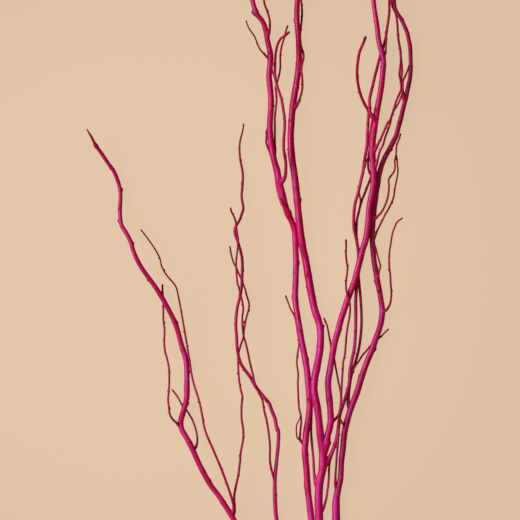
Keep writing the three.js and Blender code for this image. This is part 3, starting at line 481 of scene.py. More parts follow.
def right_plan() -> Branch:
    """Return the right-hand stem, with its long side branch."""
    return Branch(
        girth=[
            (0, 11.8), (0.265, 10.4), (0.285, 9), (0.303, 7.4), (0.315, 6.8), (0.35, 7.2), (0.41, 7.6),
            (0.5, 6.7), (0.66, 6.1), (0.735, 5.2), (0.8, 4.8), (0.9, 3.3), (1, 1.7),
        ],
        route=[
            (37, -322, 5.9), (35, -270, 5.9), (37, -220, 5.8), (34, -170, 5.7), (36, -120, 5.6),
            (39, -80, 5.5), (43, -40, 5.4), (43.5, 0, 5.4), (43.5, 14, 5.7), (44, 26, 6), (46, 37, 7),
            (48.5, 48, 8), (49.5, 60, 9), (50, 72, 10), (51.5, 84, 11), (52.5, 96, 11.5), (54, 108, 12),
            (57, 120, 12), (60.5, 132, 12), (65, 144, 11.5), (69.5, 156, 10), (73, 168, 9), (77, 180, 8.3),
            (81.5, 192, 8), (86.5, 204, 8), (90.5, 216, 7.5), (95, 228, 6), (98, 240, 4.2), (99, 252, 3.6),
            (97.5, 264, 3.5), (95.5, 276, 3.5), (93, 288, 3.6), (91, 300, 4.4), (89, 312, 5.4),
            (88, 324, 6.4), (87, 336, 7), (87, 348, 7.5), (88, 360, 8), (89, 372, 8), (91, 386, 8),
            (92, 394, 8), (94, 404, 8), (94.5, 411, 7.6), (96.5, 420, 7), (99, 428, 6.5), (103, 437, 6),
            (108, 446, 5.5), (112, 454, 5), (116, 462, 4.4), (118, 470, 4), (120.5, 479, 3.4),
            (122.5, 487, 3.3), (124.5, 496, 3.2), (127.5, 508, 3.2), (130, 519, 3.5), (132.4, 531, 4.2),
            (133.2, 542, 5.2), (133, 557, 6.6), (132.4, 568, 8.4), (130.8, 576, 9.6), (128.8, 585, 10.6),
            (125.5, 593, 11), (121.6, 601.4, 10.6), (116.6, 609, 9.8), (114, 615, 9), (113, 624, 8),
            (109, 636, 6), (105, 650, 4), (108, 664, 2.6), (117, 680, 2.2), (123, 696, 2.5), (122, 712, 4),
            (114, 728, 6), (112, 744, 7), (119, 760, 8), (130, 772, 10), (134, 788, 13), (129, 804, 16),
            (130, 820, 20), (138, 834, 26),
        ],
        shoots=[
            twig(2.9, 2.4, [
                (44.5, 31, 6.5), (42.7, 43, 9.5), (42.8, 57, 12.5), (43.5, 66, 14), (44, 76, 15),
                (45, 87, 15.8), (45.9, 98, 16.6), (46.3, 108, 17.5), (46.2, 116, 18.6), (46.8, 125, 19.3),
                (48.4, 132.5, 19), (49.3, 140, 18.4), (49.6, 152, 17.6), (50.4, 168, 17), (51.3, 180, 16),
                (52, 190, 16), (54, 200, 16), (55, 212, 17), (56, 224, 18), (57.5, 234, 18), (59, 242, 18),
                (60, 250, 18), (60, 258, 18.1), (58.5, 266, 18.2), (56, 274, 18), (55, 283, 17.4),
                (56, 292, 17.4), (57, 302, 18), (56, 310, 19), (55, 319, 21), (55.3, 328, 23),
                (55, 336, 26),
            ]),
            twig(3.6, 2.6, [
                (60.5, 132, 12), (58.6, 138, 10), (58.2, 146, 8), (59.2, 156, 6.2), (60.8, 168, 5.2),
                (64, 181, 5), (67.5, 192, 5), (70.5, 204, 5.2), (72.5, 217, 6), (74, 234, 7), (74, 246, 7),
                (73.5, 258, 6.2), (72.6, 270, 5), (71.6, 282, 4), (70.6, 294, 3), (70.7, 308, 2.6),
                (70.8, 322, 2.6), (69, 333, 3.4), (68, 341, 5), (68, 350, 6.5), (68.5, 360, 8),
                (71, 371, 10), (74, 383, 11), (77, 390, 10.5), (80.5, 399, 9), (84, 408, 6.5),
                (85.5, 414, 5.2), (83.5, 417.5, 5.2), (82, 425, 6), (82.3, 435, 6.2), (83.8, 447, 7.4),
                (84, 458, 7), (85, 468, 6.5), (86.5, 478, 6), (89.5, 488, 4.6), (92, 500, 3.6),
                (94.5, 511, 3), (96.5, 519, 2.6),
            ], [
                twig(2.4, 1.9, [
                    (73.5, 380, 10.8), (72.8, 383, 14), (72, 387, 18), (70.8, 395, 21),
                ]),
            ]),
            twig(2.1, 1.7, [
                (54.5, 110, 12), (51.8, 115, 16.5), (49.5, 119.5, 20), (47, 124.5, 23),
            ]),
            twig(2.8, 2, [
                (98.5, 245, 3.6), (100.5, 250, 6), (104.5, 253, 9), (107.5, 258, 13), (109, 264, 17),
                (109.5, 274, 22), (108.5, 284, 26), (108, 294, 28), (107, 302, 29), (106.5, 312, 30),
                (107, 322, 31), (108.5, 332, 33), (110, 342, 36), (112.5, 350, 40), (115.5, 357, 46),
                (121.5, 362, 54),
            ]),
            twig(2.5, 1.9, [
                (93.5, 284, 3.4), (94, 290, 7), (95, 298, 10), (96.5, 305, 12), (95, 311, 13),
                (93, 318, 13), (91.5, 325, 13), (90, 330, 12.5),
            ]),
            twig(2.7, 2.1, [
                (89, 359, 8), (90.5, 362, 11), (93.5, 365, 13), (96.5, 368, 16), (99.5, 372.5, 19),
                (102.5, 379, 22), (104.5, 385, 24), (106, 393, 26), (106.5, 402, 26), (106, 408, 26),
                (109.5, 413.5, 24), (113, 419, 22), (114, 424, 21), (113.5, 431, 20), (115, 438, 19),
                (116, 450, 18), (118.5, 456, 20), (120.5, 463, 24),
            ]),
            twig(2.6, 2, [
                (87, 332, 7), (89.5, 340, 8.5), (92, 346, 10), (96, 354, 12), (99.5, 361, 13),
                (103, 368, 14), (106, 373, 14), (109, 379, 14.5), (112.5, 388, 15), (113.5, 396, 15),
                (115.5, 406, 15), (117, 414, 15), (117.5, 421, 15), (116.5, 430, 15), (116, 437, 15),
            ]),
            twig(3.6, 1.6, [
                (126.5, 502, 2.9), (124, 512, 6), (122.5, 521, 9), (121.5, 528, 10), (122.5, 539, 10.5),
                (121.5, 550, 11), (120.5, 564, 12), (119, 571.5, 13), (117.8, 580, 14), (117.2, 589, 15),
                (116.8, 596, 16), (116, 602, 16.6), (114.2, 609, 17), (111.4, 614.5, 18.2),
                (109.6, 620, 18.4), (108, 628, 18.9), (104, 637, 19), (101, 650, 19), (105, 664, 18),
                (109, 678, 17), (105, 692, 15), (99, 702, 14), (98, 714, 15), (102, 726, 18),
            ]),
        ],
        marks=[
            Mark(Kind.BUD, (91, 286), Side.LEFT), Mark(Kind.BUD, (89, 204), Side.RIGHT, 1.2),
            Mark(Kind.PEG, (52, 120), Side.LEFT, 0.7),
        ],
    )


# ---------- how willow grows ----------


class Swelling(Enum):
    """What swells a limb: how high, as a share of the radius, and how one-sided, from 0 to 1."""

    NODE = (0.05, 0.7)
    MARK = (0.07, 0.8)
    KNOT = (0.22, 0.0)
    SHOOT = (0.14, 0.6)


# Even the shortest limb has this many stretches between rings.
FEWEST_RINGS = 4

# How far a swelling reaches along the limb: a share of the radius, and a length on top.
SWELLING_REACH = 0.9
SWELLING_MARGIN = 1.0 * MM

# A shoot's direction is read this many rings out, and its parent swells this many rings past its middle.
SHOOT_AIM = 6
SHOOT_SWELLS_AFTER = 2

# Leaf nodes: the step between them in mm, what each mm of thickness adds up to a limit, and the bare tip.
NODE_STEP = 13
NODE_STEP_PER_MM = 2.6
NODE_STEP_UP_TO = 7
BARE_TIP = 4 * MM
# The ranges of the first and the later steps as shares of the step, and the turn between nodes in degrees.
FIRST_STEP = (0.5, 1.0)
LATER_STEP = (0.7, 1.35)
NODE_TURN = 144
NODE_TURN_VARIES = 14
# How scarred a node is, and how far a node's and a knot's scars reach along the limb.
NODE_SCAR = 0.45
NODE_SCAR_REACH = 1.2 * MM
KNOT_SCAR_REACH = 2.5 * MM

# Ridges along the bark: how many go round at least, how many sides each more of them needs, their height as a
# share of the radius, the range of their strength, their twist in radians for each metre, and the ranges of
# their sideways drift, in radians, and of its rate.
FEWEST_RIDGES = 2
SIDES_PER_RIDGE = 4
RIDGE_HEIGHT = 0.022
RIDGE_STRENGTH = (0.5, 1.0)
RIDGE_TWIST = 4
DRIFT = (0.5, 1.4)
DRIFT_RATE = (30, 90)
# Waves in the thickness: how many, how high as a share of the radius, and the range of their length in mm.
WAVES = 4
WAVE_HEIGHT = 0.008
WAVE_LENGTH = (14, 60)

# A shoot flares by this share where it leaves its parent, over a share of the parent's radius and a margin.
# Inside the parent it keeps to a share of the parent's radius.
COLLAR_FLARE = 0.5
COLLAR_REACH = 1.3
COLLAR_MARGIN = 1.2 * MM
ROOT_SHARE = 0.93

# A rounded tip's rings, in degrees from the last plain ring, and how much of a tip is dead.
TIP_TURNS = (35, 65)
DEAD_TIP = 5 * MM

# The saw cut at a butt: how far it leans and how rough it is, as shares of the radius, and its rings. The
# outermost ring is the bark's edge and stays even.
CUT_LEAN = 0.5
CUT_ROUGH = 0.05
CUT_RINGS = (0.9, 0.62, 0.34, 0.12)

# The grain starts up to this many metres along, so that no two limbs match.
GRAIN_SHIFT = 2

# Buds at the nodes: half their length in mm, what each mm of radius adds, the range of their size, and their
# height as a share of that length. They keep this many rings from a shoot, and this many radii from a parent.
NODE_BUD = 1.2
NODE_BUD_PER_MM = 0.26
NODE_BUD_SIZES = (0.75, 1.1)
NODE_BUD_HEIGHT = 0.34
RINGS_FROM_SHOOT = 4
BUDS_CLEAR = 2.5
# Buds and scars at known places: half the length in mm, and the height as a share of that length.
BUD_SHAPES = {Kind.BUD: (2.1, 0.5), Kind.SCAR: (1.4, 0.36)}
# A bud's rings: the place along it and the half width, as shares of half its length. It is seated at a share
# of the limb's radius and lifts off the bark towards its point.
BUD_OUTLINE = ((-0.9, 0.3), (-0.6, 0.5), (-0.15, 0.58), (0.35, 0.47), (0.75, 0.3), (1.15, 0.12))
BUD_SIDES = 8
BUD_SEAT = 0.97
BUD_LIFT = 0.22
BUD_HEEL = 1.05
BUD_POINT = 1.35
BUD_POINT_RISE = 2.2

# A peg's rings: the place along it and the radius, in mm. It is seated at a share of the limb's radius, leans
# towards the tip, and its broken end is ragged by up to this many mm.
PEG_OUTLINE = ((0.0, 1.15), (1.1, 0.95), (2.0, 0.75), (3.0, 0.66), (3.9, 0.6))
PEG_SIDES = 9
PEG_SEAT = 0.6
PEG_LEAN = 0.75
PEG_RAGGED = 0.35
PEG_HEEL = 0.2
PEG_END = 3.7

# Joins are softened where the fused skin has corners that no shell had: how far round them, as a share of the
# limb's thickness and within limits, how much a corner gives each time, and how many times.
NEW_CORNER = 1e-6
SOFT_REACH = 0.45
SOFT_LIMITS = (0.7 * MM, 3.2 * MM)
SOFT_GIVE = 0.5
SOFT_ROUNDS = 6


# ---------- bark ----------


@dataclass
class Shell:
    """A closed skin and what its material needs to know at each corner.

    Attributes:
        corners: one row for each corner, in metres.
        faces: the corners of each face.
        cut: for each face, whether it is cut wood and not bark.
        grain: for each corner, its place round and along its branch, in metres.
        growth: for each corner, the branch's thickness in mm, how scarred it is and how close to a dead tip.
    """

    corners: np.ndarray
    faces: list[tuple[int, ...]]
    cut: list[bool]
    grain: np.ndarray
    growth: np.ndarray

    @classmethod
    def joined(cls, shells: Sequence["Shell"]) -> "Shell":
        """Put several shells together without fusing them.

        Args:
            shells: the shells.

        Returns:
            One shell that holds them all.
        """
        firsts = np.cumsum([0, *[len(shell.corners) for shell in shells[:-1]]])
        faces = [
            tuple(int(first) + corner for corner in face)
            for first, shell in zip(firsts, shells)
            for face in shell.faces
        ]
        return cls(
            np.vstack([shell.corners for shell in shells]),
            faces,
            [cut for shell in shells for cut in shell.cut],
            np.vstack([shell.grain for shell in shells]),
            np.vstack([shell.growth for shell in shells]),
        )

    def as_object(self, name: str, materials: Sequence[Material]) -> Object:
        """Make a mesh object of the shell.

        Args:
            name: the object's name.
            materials: bark, then cut wood.

        Returns:
            The object, linked to nothing yet.
        """
        mesh = bpy.data.meshes.new(name)
        mesh.from_pydata(self.corners.tolist(), [], self.faces)
        for material in materials:
            mesh.materials.append(material)
        mesh.polygons.foreach_set("material_index", np.array(self.cut, dtype=np.int32))
        return bpy.data.objects.new(name, mesh)


def smooth_line(points: np.ndarray, steps: int = 16) -> np.ndarray:
    """Run a centripetal Catmull-Rom line through some points.

    Args:
        points: the points, in order.
        steps: how many short pieces each stretch between two points has.

    Returns:
        Many points along the line.
    """
    ends = np.vstack([2 * points[0] - points[1], points, 2 * points[-1] - points[-2]])
    gaps = np.sqrt(np.linalg.norm(np.diff(ends, axis=0), axis=1))
    share = np.linspace(0.0, 1.0, steps, endpoint=False)[:, None]
    stretches = []
    for index in range(len(points) - 1):
        before, start, end, after = ends[index : index + 4]
        first, middle, last = gaps[index : index + 3]
        across = (end - start) / middle
        leave = middle * ((start - before) / first - (end - before) / (first + middle) + across)
        arrive = middle * (across - (after - start) / (middle + last) + (after - end) / last)
        square = 3 * (end - start) - 2 * leave - arrive
        cube = 2 * (start - end) + leave + arrive
        stretches.append(start + leave * share + square * share**2 + cube * share**3)
    return np.vstack([*stretches, points[-1:]])


def placed(points: Sequence) -> np.ndarray:
    """Return places of the routes, with or without their z, in metres from the middle of the bunch."""
    places = np.array(points, dtype=float)
    return (places - MIDDLE[: places.shape[-1]]) * MM


def unit(vectors: np.ndarray) -> np.ndarray:
    """Return the vectors with a length of one."""
    return vectors / np.linalg.norm(vectors, axis=-1, keepdims=True)


class Limb:
    """One branch with its middle line worked out, ready to be given its bark.

    Attributes:
        plan: the branch it is made from.
        run: how far along the branch each ring is, in metres.
        centres: the middle of each ring.
        ahead, across, over: each ring's frame, with ahead along the branch.
        radius: each ring's plain radius, in metres.
        nodes: the ring and the angle of each leaf node.
        shoots: the limbs that grow on it.
    """

    def __init__(self, plan: Branch, draws: np.random.Generator, parent: "Limb | None" = None) -> None:
        """Lay the branch and all its shoots out.

        Args:
            plan: the branch.
            draws: where its random numbers come from.
            parent: the limb that it grows on, or None for a leader.
        """
        self.plan = plan
        self.draws = draws
        self.parent = parent
        points = placed(plan.route)
        if parent is not None:
            points[0] = parent.centres[parent.ring_near(points[0])]
        girth = np.array(plan.girth, dtype=float)
        _, self.sides, spacing = Skin.for_thickness(girth[:, 1].max()).value
        line = smooth_line(points)
        lengths = np.concatenate([[0.0], np.cumsum(np.linalg.norm(np.diff(line, axis=0), axis=1))])
        rings = max(FEWEST_RINGS, math.ceil(lengths[-1] / (spacing * MM)))
        self.run = np.linspace(0.0, lengths[-1], rings + 1)
        self.centres = np.column_stack([np.interp(self.run, lengths, line[:, axis]) for axis in range(3)])
        self.ahead = unit(np.gradient(self.centres, axis=0))
        self.across = self._carried_across()
        self.over = np.cross(self.ahead, self.across)
        self.radius = np.interp(self.run / lengths[-1], girth[:, 0], girth[:, 1]) * MM / 2
        self.angles = np.linspace(0.0, 2 * math.pi, self.sides, endpoint=False)
        self.nodes = self._spiral()
        self.shoots = [Limb(shoot, draws, self) for shoot in plan.shoots]

    def _carried_across(self) -> np.ndarray:
        """Carry one sideways direction along the limb without twisting it.

        Returns:
            The direction at each ring.
        """
        carried = np.empty_like(self.ahead)
        side = np.cross([0.0, 0.0, 1.0], self.ahead[0])
        for index, ahead in enumerate(self.ahead):
            side = side - ahead * side.dot(ahead)
            side = side / np.linalg.norm(side)
            carried[index] = side
        return carried

    def ring_near(self, point: np.ndarray) -> int:
        """Find the ring whose middle is nearest to a point.

        Args:
            point: x, y and z, or x and y alone.

        Returns:
            The ring's index.
        """
        return int(np.argmin(np.linalg.norm(self.centres[:, : len(point)] - point, axis=1)))

    def whole(self) -> list["Limb"]:
        """Return this limb and every limb that grows on it."""
        return [self, *[limb for shoot in self.shoots for limb in shoot.whole()]]

    def angle_of(self, ring: int, direction: np.ndarray) -> float:
        """Return the angle round a ring at which a direction points."""
        return math.atan2(direction.dot(self.over[ring]), direction.dot(self.across[ring]))

    def _spiral(self) -> list[tuple[int, float]]:
        """Set out the leaf nodes, in a spiral with irregular steps.

        Returns:
            The ring and the angle of each node.
        """
        thickness = 2 * self.radius.mean() / MM
        step = (NODE_STEP + NODE_STEP_PER_MM * min(thickness, NODE_STEP_UP_TO)) * MM
        angle = self.draws.uniform(0, 2 * math.pi)
        place = step * self.draws.uniform(*FIRST_STEP)
        found = []
        while place < self.run[-1] - BARE_TIP:
            found.append((int(np.searchsorted(self.run, place)), angle))
            place += step * self.draws.uniform(*LATER_STEP)
            angle += math.radians(NODE_TURN + self.draws.uniform(-NODE_TURN_VARIES, NODE_TURN_VARIES))
        return found

    def _hump(self, ring: int, reach: float) -> np.ndarray:
        """Return 1 at one ring, fading smoothly along the limb over a reach in metres."""
        return np.exp(-(((self.run - self.run[ring]) / reach) ** 2))

    def _swelling(self, ring: int, angle: float, swelling: Swelling, size: float = 1.0) -> np.ndarray:
        """Shape a swelling round one ring.

        Args:
            ring: the middle of the swelling.
            angle: the side on which it is higher.
            swelling: what has swollen.
            size: how high it is, against the usual one of its kind.

        Returns:
            The height at each ring and side, as a share of the radius.
        """
        height, one_sided = swelling.value
        along = self._hump(ring, SWELLING_REACH * self.radius[ring] + SWELLING_MARGIN)
        around = 1 + one_sided * np.cos(self.angles - angle)
        return height * size * along[:, None] * around[None, :]

    def _ridges(self) -> np.ndarray:
        """Shape the low ridges and hollows that run along the bark.

        Returns:
            Their height at each ring and side, as a share of the radius.
        """
        height = np.zeros((len(self.run), self.sides))
        twist = self.draws.uniform(-RIDGE_TWIST, RIDGE_TWIST) * self.run
        for count in range(FEWEST_RIDGES, FEWEST_RIDGES + self.sides // SIDES_PER_RIDGE):
            drift = self.draws.uniform(*DRIFT) * np.sin(
                self.run * self.draws.uniform(*DRIFT_RATE) + self.draws.uniform(0, 2 * math.pi)
            )
            turn = self.draws.uniform(0, 2 * math.pi) + count * twist + drift
            height += self.draws.uniform(*RIDGE_STRENGTH) * RIDGE_HEIGHT / math.sqrt(count) * np.cos(
                count * self.angles[None, :] + turn[:, None]
            )
        for _ in range(WAVES):
            wave = self.run * 2 * math.pi / (self.draws.uniform(*WAVE_LENGTH) * MM)
            height += WAVE_HEIGHT * np.sin(wave + self.draws.uniform(0, 2 * math.pi))[:, None]
        return height

    def _from_parent(self) -> tuple[float, np.ndarray]:
        """Return the parent's radius where this limb starts, and each ring's distance from its middle."""
        root = self.parent.ring_near(self.centres[0])
        gaps = self.centres[:, None, :] - self.parent.centres[None, ::2, :]
        return self.parent.radius[root], np.linalg.norm(gaps, axis=2).min(axis=1)

    def _collar(self) -> np.ndarray:
        """Return how much a shoot widens towards its parent, as a factor for each ring."""
        if self.parent is None:
            return np.ones_like(self.run)
        thick, away = self._from_parent()
        outside = np.nonzero(away > thick)[0]
        leaves_at = self.run[outside[0]] if len(outside) else self.run[-1]
        past = np.maximum(self.run - leaves_at, 0.0)
        reach = COLLAR_REACH * thick + COLLAR_MARGIN
        flared = self.radius * (1 + COLLAR_FLARE * np.exp(-((past / reach) ** 2)))
        held = np.minimum(flared, ROOT_SHARE * thick)
        return np.where(self.run <= leaves_at, held, flared) / self.radius

    def bark(self) -> Shell:
        """Sweep the bark round the middle line, with both ends closed.

        Returns:
            The limb's own shell, without its shoots, buds and pegs.
        """
        relief = self._ridges()
        scarred = np.zeros(len(self.run))
        for ring, angle in self.nodes:
            relief += self._swelling(ring, angle, Swelling.NODE)
            scarred = np.maximum(scarred, NODE_SCAR * self._hump(ring, NODE_SCAR_REACH))
        for mark in self.plan.marks:
            ring = self.ring_near(placed(mark.near))
            if mark.kind is Kind.KNOT:
                relief += self._swelling(ring, 0.0, Swelling.KNOT, mark.size)
                scarred = np.maximum(scarred, self._hump(ring, KNOT_SCAR_REACH))
            else:
                angle = self.angle_of(ring, np.array(mark.side.value))
                relief += self._swelling(ring, angle, Swelling.MARK, mark.size)
        for shoot in self.shoots:
            ring = self.ring_near(shoot.centres[0])
            further = min(len(shoot.centres) - 1, SHOOT_AIM)
            angle = self.angle_of(ring, shoot.centres[further] - shoot.centres[0])
            share = min(1.0, shoot.radius[further] / self.radius[ring])
            swollen = min(ring + SHOOT_SWELLS_AFTER, len(self.run) - 1)
            relief += self._swelling(swollen, angle, Swelling.SHOOT, share)
        radii = (self.radius * self._collar())[:, None] * (1 + relief)
        return self._swept(radii, scarred, CUT_LEAN if self.parent is None else 0.0)

    def _swept(self, radii: np.ndarray, scarred: np.ndarray, lean: float) -> Shell:
        """Turn rings of radii into a closed shell with a cut butt and a rounded tip.

        Args:
            radii: the radius at each ring and side.
            scarred: how scarred each ring is.
            lean: how far the butt's cut leans, as a share of its radius.

        Returns:
            The shell.
        """
        cos, sin = np.cos(self.angles), np.sin(self.angles)
        slide = lean * self.radius[0] * np.exp(-self.run / (2 * self.radius[0]))[:, None] * cos[None, :]
        rings = [
            self.centres[index]
            + np.outer(radii[index] * cos, self.across[index])
            + np.outer(radii[index] * sin, self.over[index])
            + np.outer(slide[index], self.ahead[index])
            for index in range(len(self.run))
        ]
        spans = list(radii)
        places = list(self.run)
        scars = list(scarred)
        for turn in TIP_TURNS:
            shrunk = radii[-1] * math.cos(math.radians(turn))
            centre = self.centres[-1] + self.ahead[-1] * self.radius[-1] * math.sin(math.radians(turn))
            rings.append(
                centre + np.outer(shrunk * cos, self.across[-1]) + np.outer(shrunk * sin, self.over[-1])
            )
            spans.append(shrunk)
            places.append(self.run[-1] + self.radius[-1])
            scars.append(scarred[-1])
        skin_rings = len(rings)
        inner = CUT_RINGS if self.parent is None else ()
        for share in inner:
            rough = self.draws.uniform(-CUT_ROUGH, CUT_ROUGH, self.sides) * self.radius[0]
            rough = rough * (share < CUT_RINGS[0])
            rings.append(
                self.centres[0]
                + (rings[0] - self.centres[0]) * share
                + np.outer(rough, self.ahead[0])
            )
            spans.append(radii[0] * share)
            places.append(0.0)
            scars.append(0.0)
        corners = np.vstack([*rings, self.centres[:1], self.centres[-1:] + self.ahead[-1:] * self.radius[-1]])

        offset = self.draws.uniform(0, GRAIN_SHIFT)
        grain = np.vstack(
            [
                np.column_stack([span * cos, span * sin, np.full(self.sides, place + offset)])
                for span, place in zip(spans, places)
            ]
            + [[[0.0, 0.0, offset]], [[0.0, 0.0, self.run[-1] + offset]]]
        )
        thickness = np.interp(places, self.run, self.radius) * 2 / MM
        to_tip = self.run[-1] - np.array(places)
        dead = np.clip(1 - to_tip / DEAD_TIP, 0, 1)
        growth = np.column_stack([thickness, scars, dead]).repeat(self.sides, axis=0)
        growth = np.vstack([growth, [growth[0]], [growth[(skin_rings - 1) * self.sides]]])

        count = self.sides
        middle, tip = len(corners) - 2, len(corners) - 1
        faces: list[tuple[int, ...]] = []
        cut: list[bool] = []
        for side in range(count):
            beside = (side + 1) % count
            for ring in range(skin_rings - 1):
                low, high = ring * count, (ring + 1) * count
                faces.append((low + side, low + beside, high + beside, high + side))
                cut.append(False)
            last = (skin_rings - 1) * count
            faces.append((last + side, last + beside, tip))
            cut.append(False)
            edge = 0
            for step in range(len(inner)):
                inward = (skin_rings + step) * count
                faces.append((inward + side, inward + beside, edge + beside, edge + side))
                cut.append(step > 0)
                edge = inward
            faces.append((middle, edge + beside, edge + side))
            cut.append(self.parent is None)
        return Shell(corners, faces, cut, grain, growth)

    def buds(self) -> list[Shell]:
        """Make the buds, leaf scars and broken pegs of this limb.

        Returns:
            One shell for each.
        """
        made = []
        emerging = self._first_clear_ring()
        busy = [self.ring_near(shoot.centres[0]) for shoot in self.shoots]
        for ring, angle in self.nodes:
            if ring < emerging or any(abs(ring - other) < RINGS_FROM_SHOOT for other in busy):
                continue
            out = self.across[ring] * math.cos(angle) + self.over[ring] * math.sin(angle)
            size = self.draws.uniform(*NODE_BUD_SIZES)
            length = (NODE_BUD + NODE_BUD_PER_MM * self.radius[ring] / MM) * size * MM
            made.append(self._bud(ring, out, length, NODE_BUD_HEIGHT))
        for mark in self.plan.marks:
            ring = self.ring_near(placed(mark.near))
            out = np.array(mark.side.value)
            out = unit(out - self.ahead[ring] * out.dot(self.ahead[ring]))
            if mark.kind in BUD_SHAPES:
                length, height = BUD_SHAPES[mark.kind]
                made.append(self._bud(ring, out, length * mark.size * MM, height))
            elif mark.kind is Kind.PEG:
                made.append(self._peg(ring, out, mark.size))
        return made

    def _first_clear_ring(self) -> int:
        """Return the first ring that is far enough outside the parent for a bud."""
        if self.parent is None:
            return 0
        thick, away = self._from_parent()
        clear = np.nonzero(away > thick + BUDS_CLEAR * self.radius)[0]
        return int(clear[0]) if len(clear) else len(self.run)

    def _bud(self, ring: int, out: np.ndarray, length: float, height: float) -> Shell:
        """Make one bud, pressed against the bark with its point towards the limb's tip.

        Args:
            ring: the ring that it sits on.
            out: the direction away from the limb.
            length: half the bud's length, in metres.
            height: how far it stands out, as a share of that length.

        Returns:
            The bud's shell.
        """
        ahead, side = self.ahead[ring], np.cross(self.ahead[ring], out)
        base = self.centres[ring] + out * self.radius[ring] * BUD_SEAT
        around = np.linspace(0, 2 * math.pi, BUD_SIDES, endpoint=False)
        rings = []
        for share, width in BUD_OUTLINE:
            centre = base + ahead * share * length + out * (share - BUD_OUTLINE[0][0]) * BUD_LIFT * length
            rings.append(
                centre
                + np.outer(np.cos(around) * width * length, side)
                + np.outer(np.sin(around) * width * length * height * 2, out)
            )
        heel = base - ahead * BUD_HEEL * length
        point = base + ahead * BUD_POINT * length + out * BUD_POINT_RISE * BUD_LIFT * length
        return self._beads(rings, heel, point, ring, scarred=0.75, dead=0.0)

    def _peg(self, ring: int, out: np.ndarray, size: float) -> Shell:
        """Make the short ragged peg that a broken shoot leaves.

        Args:
            ring: the ring that it sits on.
            out: the direction away from the limb.
            size: how big it is, against the usual one.

        Returns:
            The peg's shell.
        """
        axis = unit(out + self.ahead[ring] * PEG_LEAN)
        side = unit(np.cross(self.ahead[ring], out))
        rise = np.cross(axis, side)
        around = np.linspace(0, 2 * math.pi, PEG_SIDES, endpoint=False)
        base = self.centres[ring] + out * self.radius[ring] * PEG_SEAT
        broken_end = PEG_OUTLINE[-1][0]
        rings = []
        for along, width in PEG_OUTLINE:
            ragged = self.draws.uniform(-PEG_RAGGED, PEG_RAGGED, PEG_SIDES) * (along == broken_end)
            rings.append(
                base
                + axis * along * size * MM
                + np.outer(np.cos(around) * width * size * MM, side)
                + np.outer(np.sin(around) * width * size * MM, rise)
                + np.outer(ragged * size * MM, axis)
            )
        heel = base - axis * PEG_HEEL * size * MM
        end = base + axis * PEG_END * size * MM
        return self._beads(rings, heel, end, ring, scarred=0.8, dead=0.6)

    def _beads(
        self,
        rings: list[np.ndarray],
        heel: np.ndarray,
        point: np.ndarray,
        ring: int,
        scarred: float,
        dead: float,
    ) -> Shell:
        """Close a short row of rings into a shell that belongs to one ring of the limb.

        Args:
            rings: the rings of corners, from heel to point.
            heel: the corner that closes the first ring.
            point: the corner that closes the last ring.
            ring: the limb's ring that it grows on.
            scarred: how scarred its bark is.
            dead: how close to a dead tip it is.

        Returns:
            The shell.
        """
        count = len(rings[0])
        corners = np.vstack([*rings, [heel], [point]])
        first, last = len(corners) - 2, len(corners) - 1
        faces: list[tuple[int, ...]] = []
        for side in range(count):
            beside = (side + 1) % count
            for step in range(len(rings) - 1):
                low, high = step * count, (step + 1) * count
                faces.append((low + side, low + beside, high + beside, high + side))
            faces.append((beside, side, first))
            faces.append(((len(rings) - 1) * count + side, (len(rings) - 1) * count + beside, last))
        if self._inside_out(corners, faces):
            faces = [face[::-1] for face in faces]
        local = corners - self.centres[ring]
        along = local @ self.ahead[ring] + self.run[ring]
        grain = np.column_stack([local @ self.across[ring], local @ self.over[ring], along])
        growth = np.tile([2 * self.radius[ring] / MM, scarred, dead], (len(corners), 1))
        return Shell(corners, faces, [False] * len(faces), grain, growth)

    @staticmethod
    def _inside_out(corners: np.ndarray, faces: list[tuple[int, ...]]) -> bool:
        """Return whether a closed shell's faces look inwards."""
        middle = corners.mean(axis=0)
        volume = 0.0
        for face in faces:
            first = corners[face[0]] - middle
            for second, third in zip(face[1:], face[2:]):
                volume += first.dot(np.cross(corners[second] - middle, corners[third] - middle))
        return volume < 0


# ---------- finishes ----------


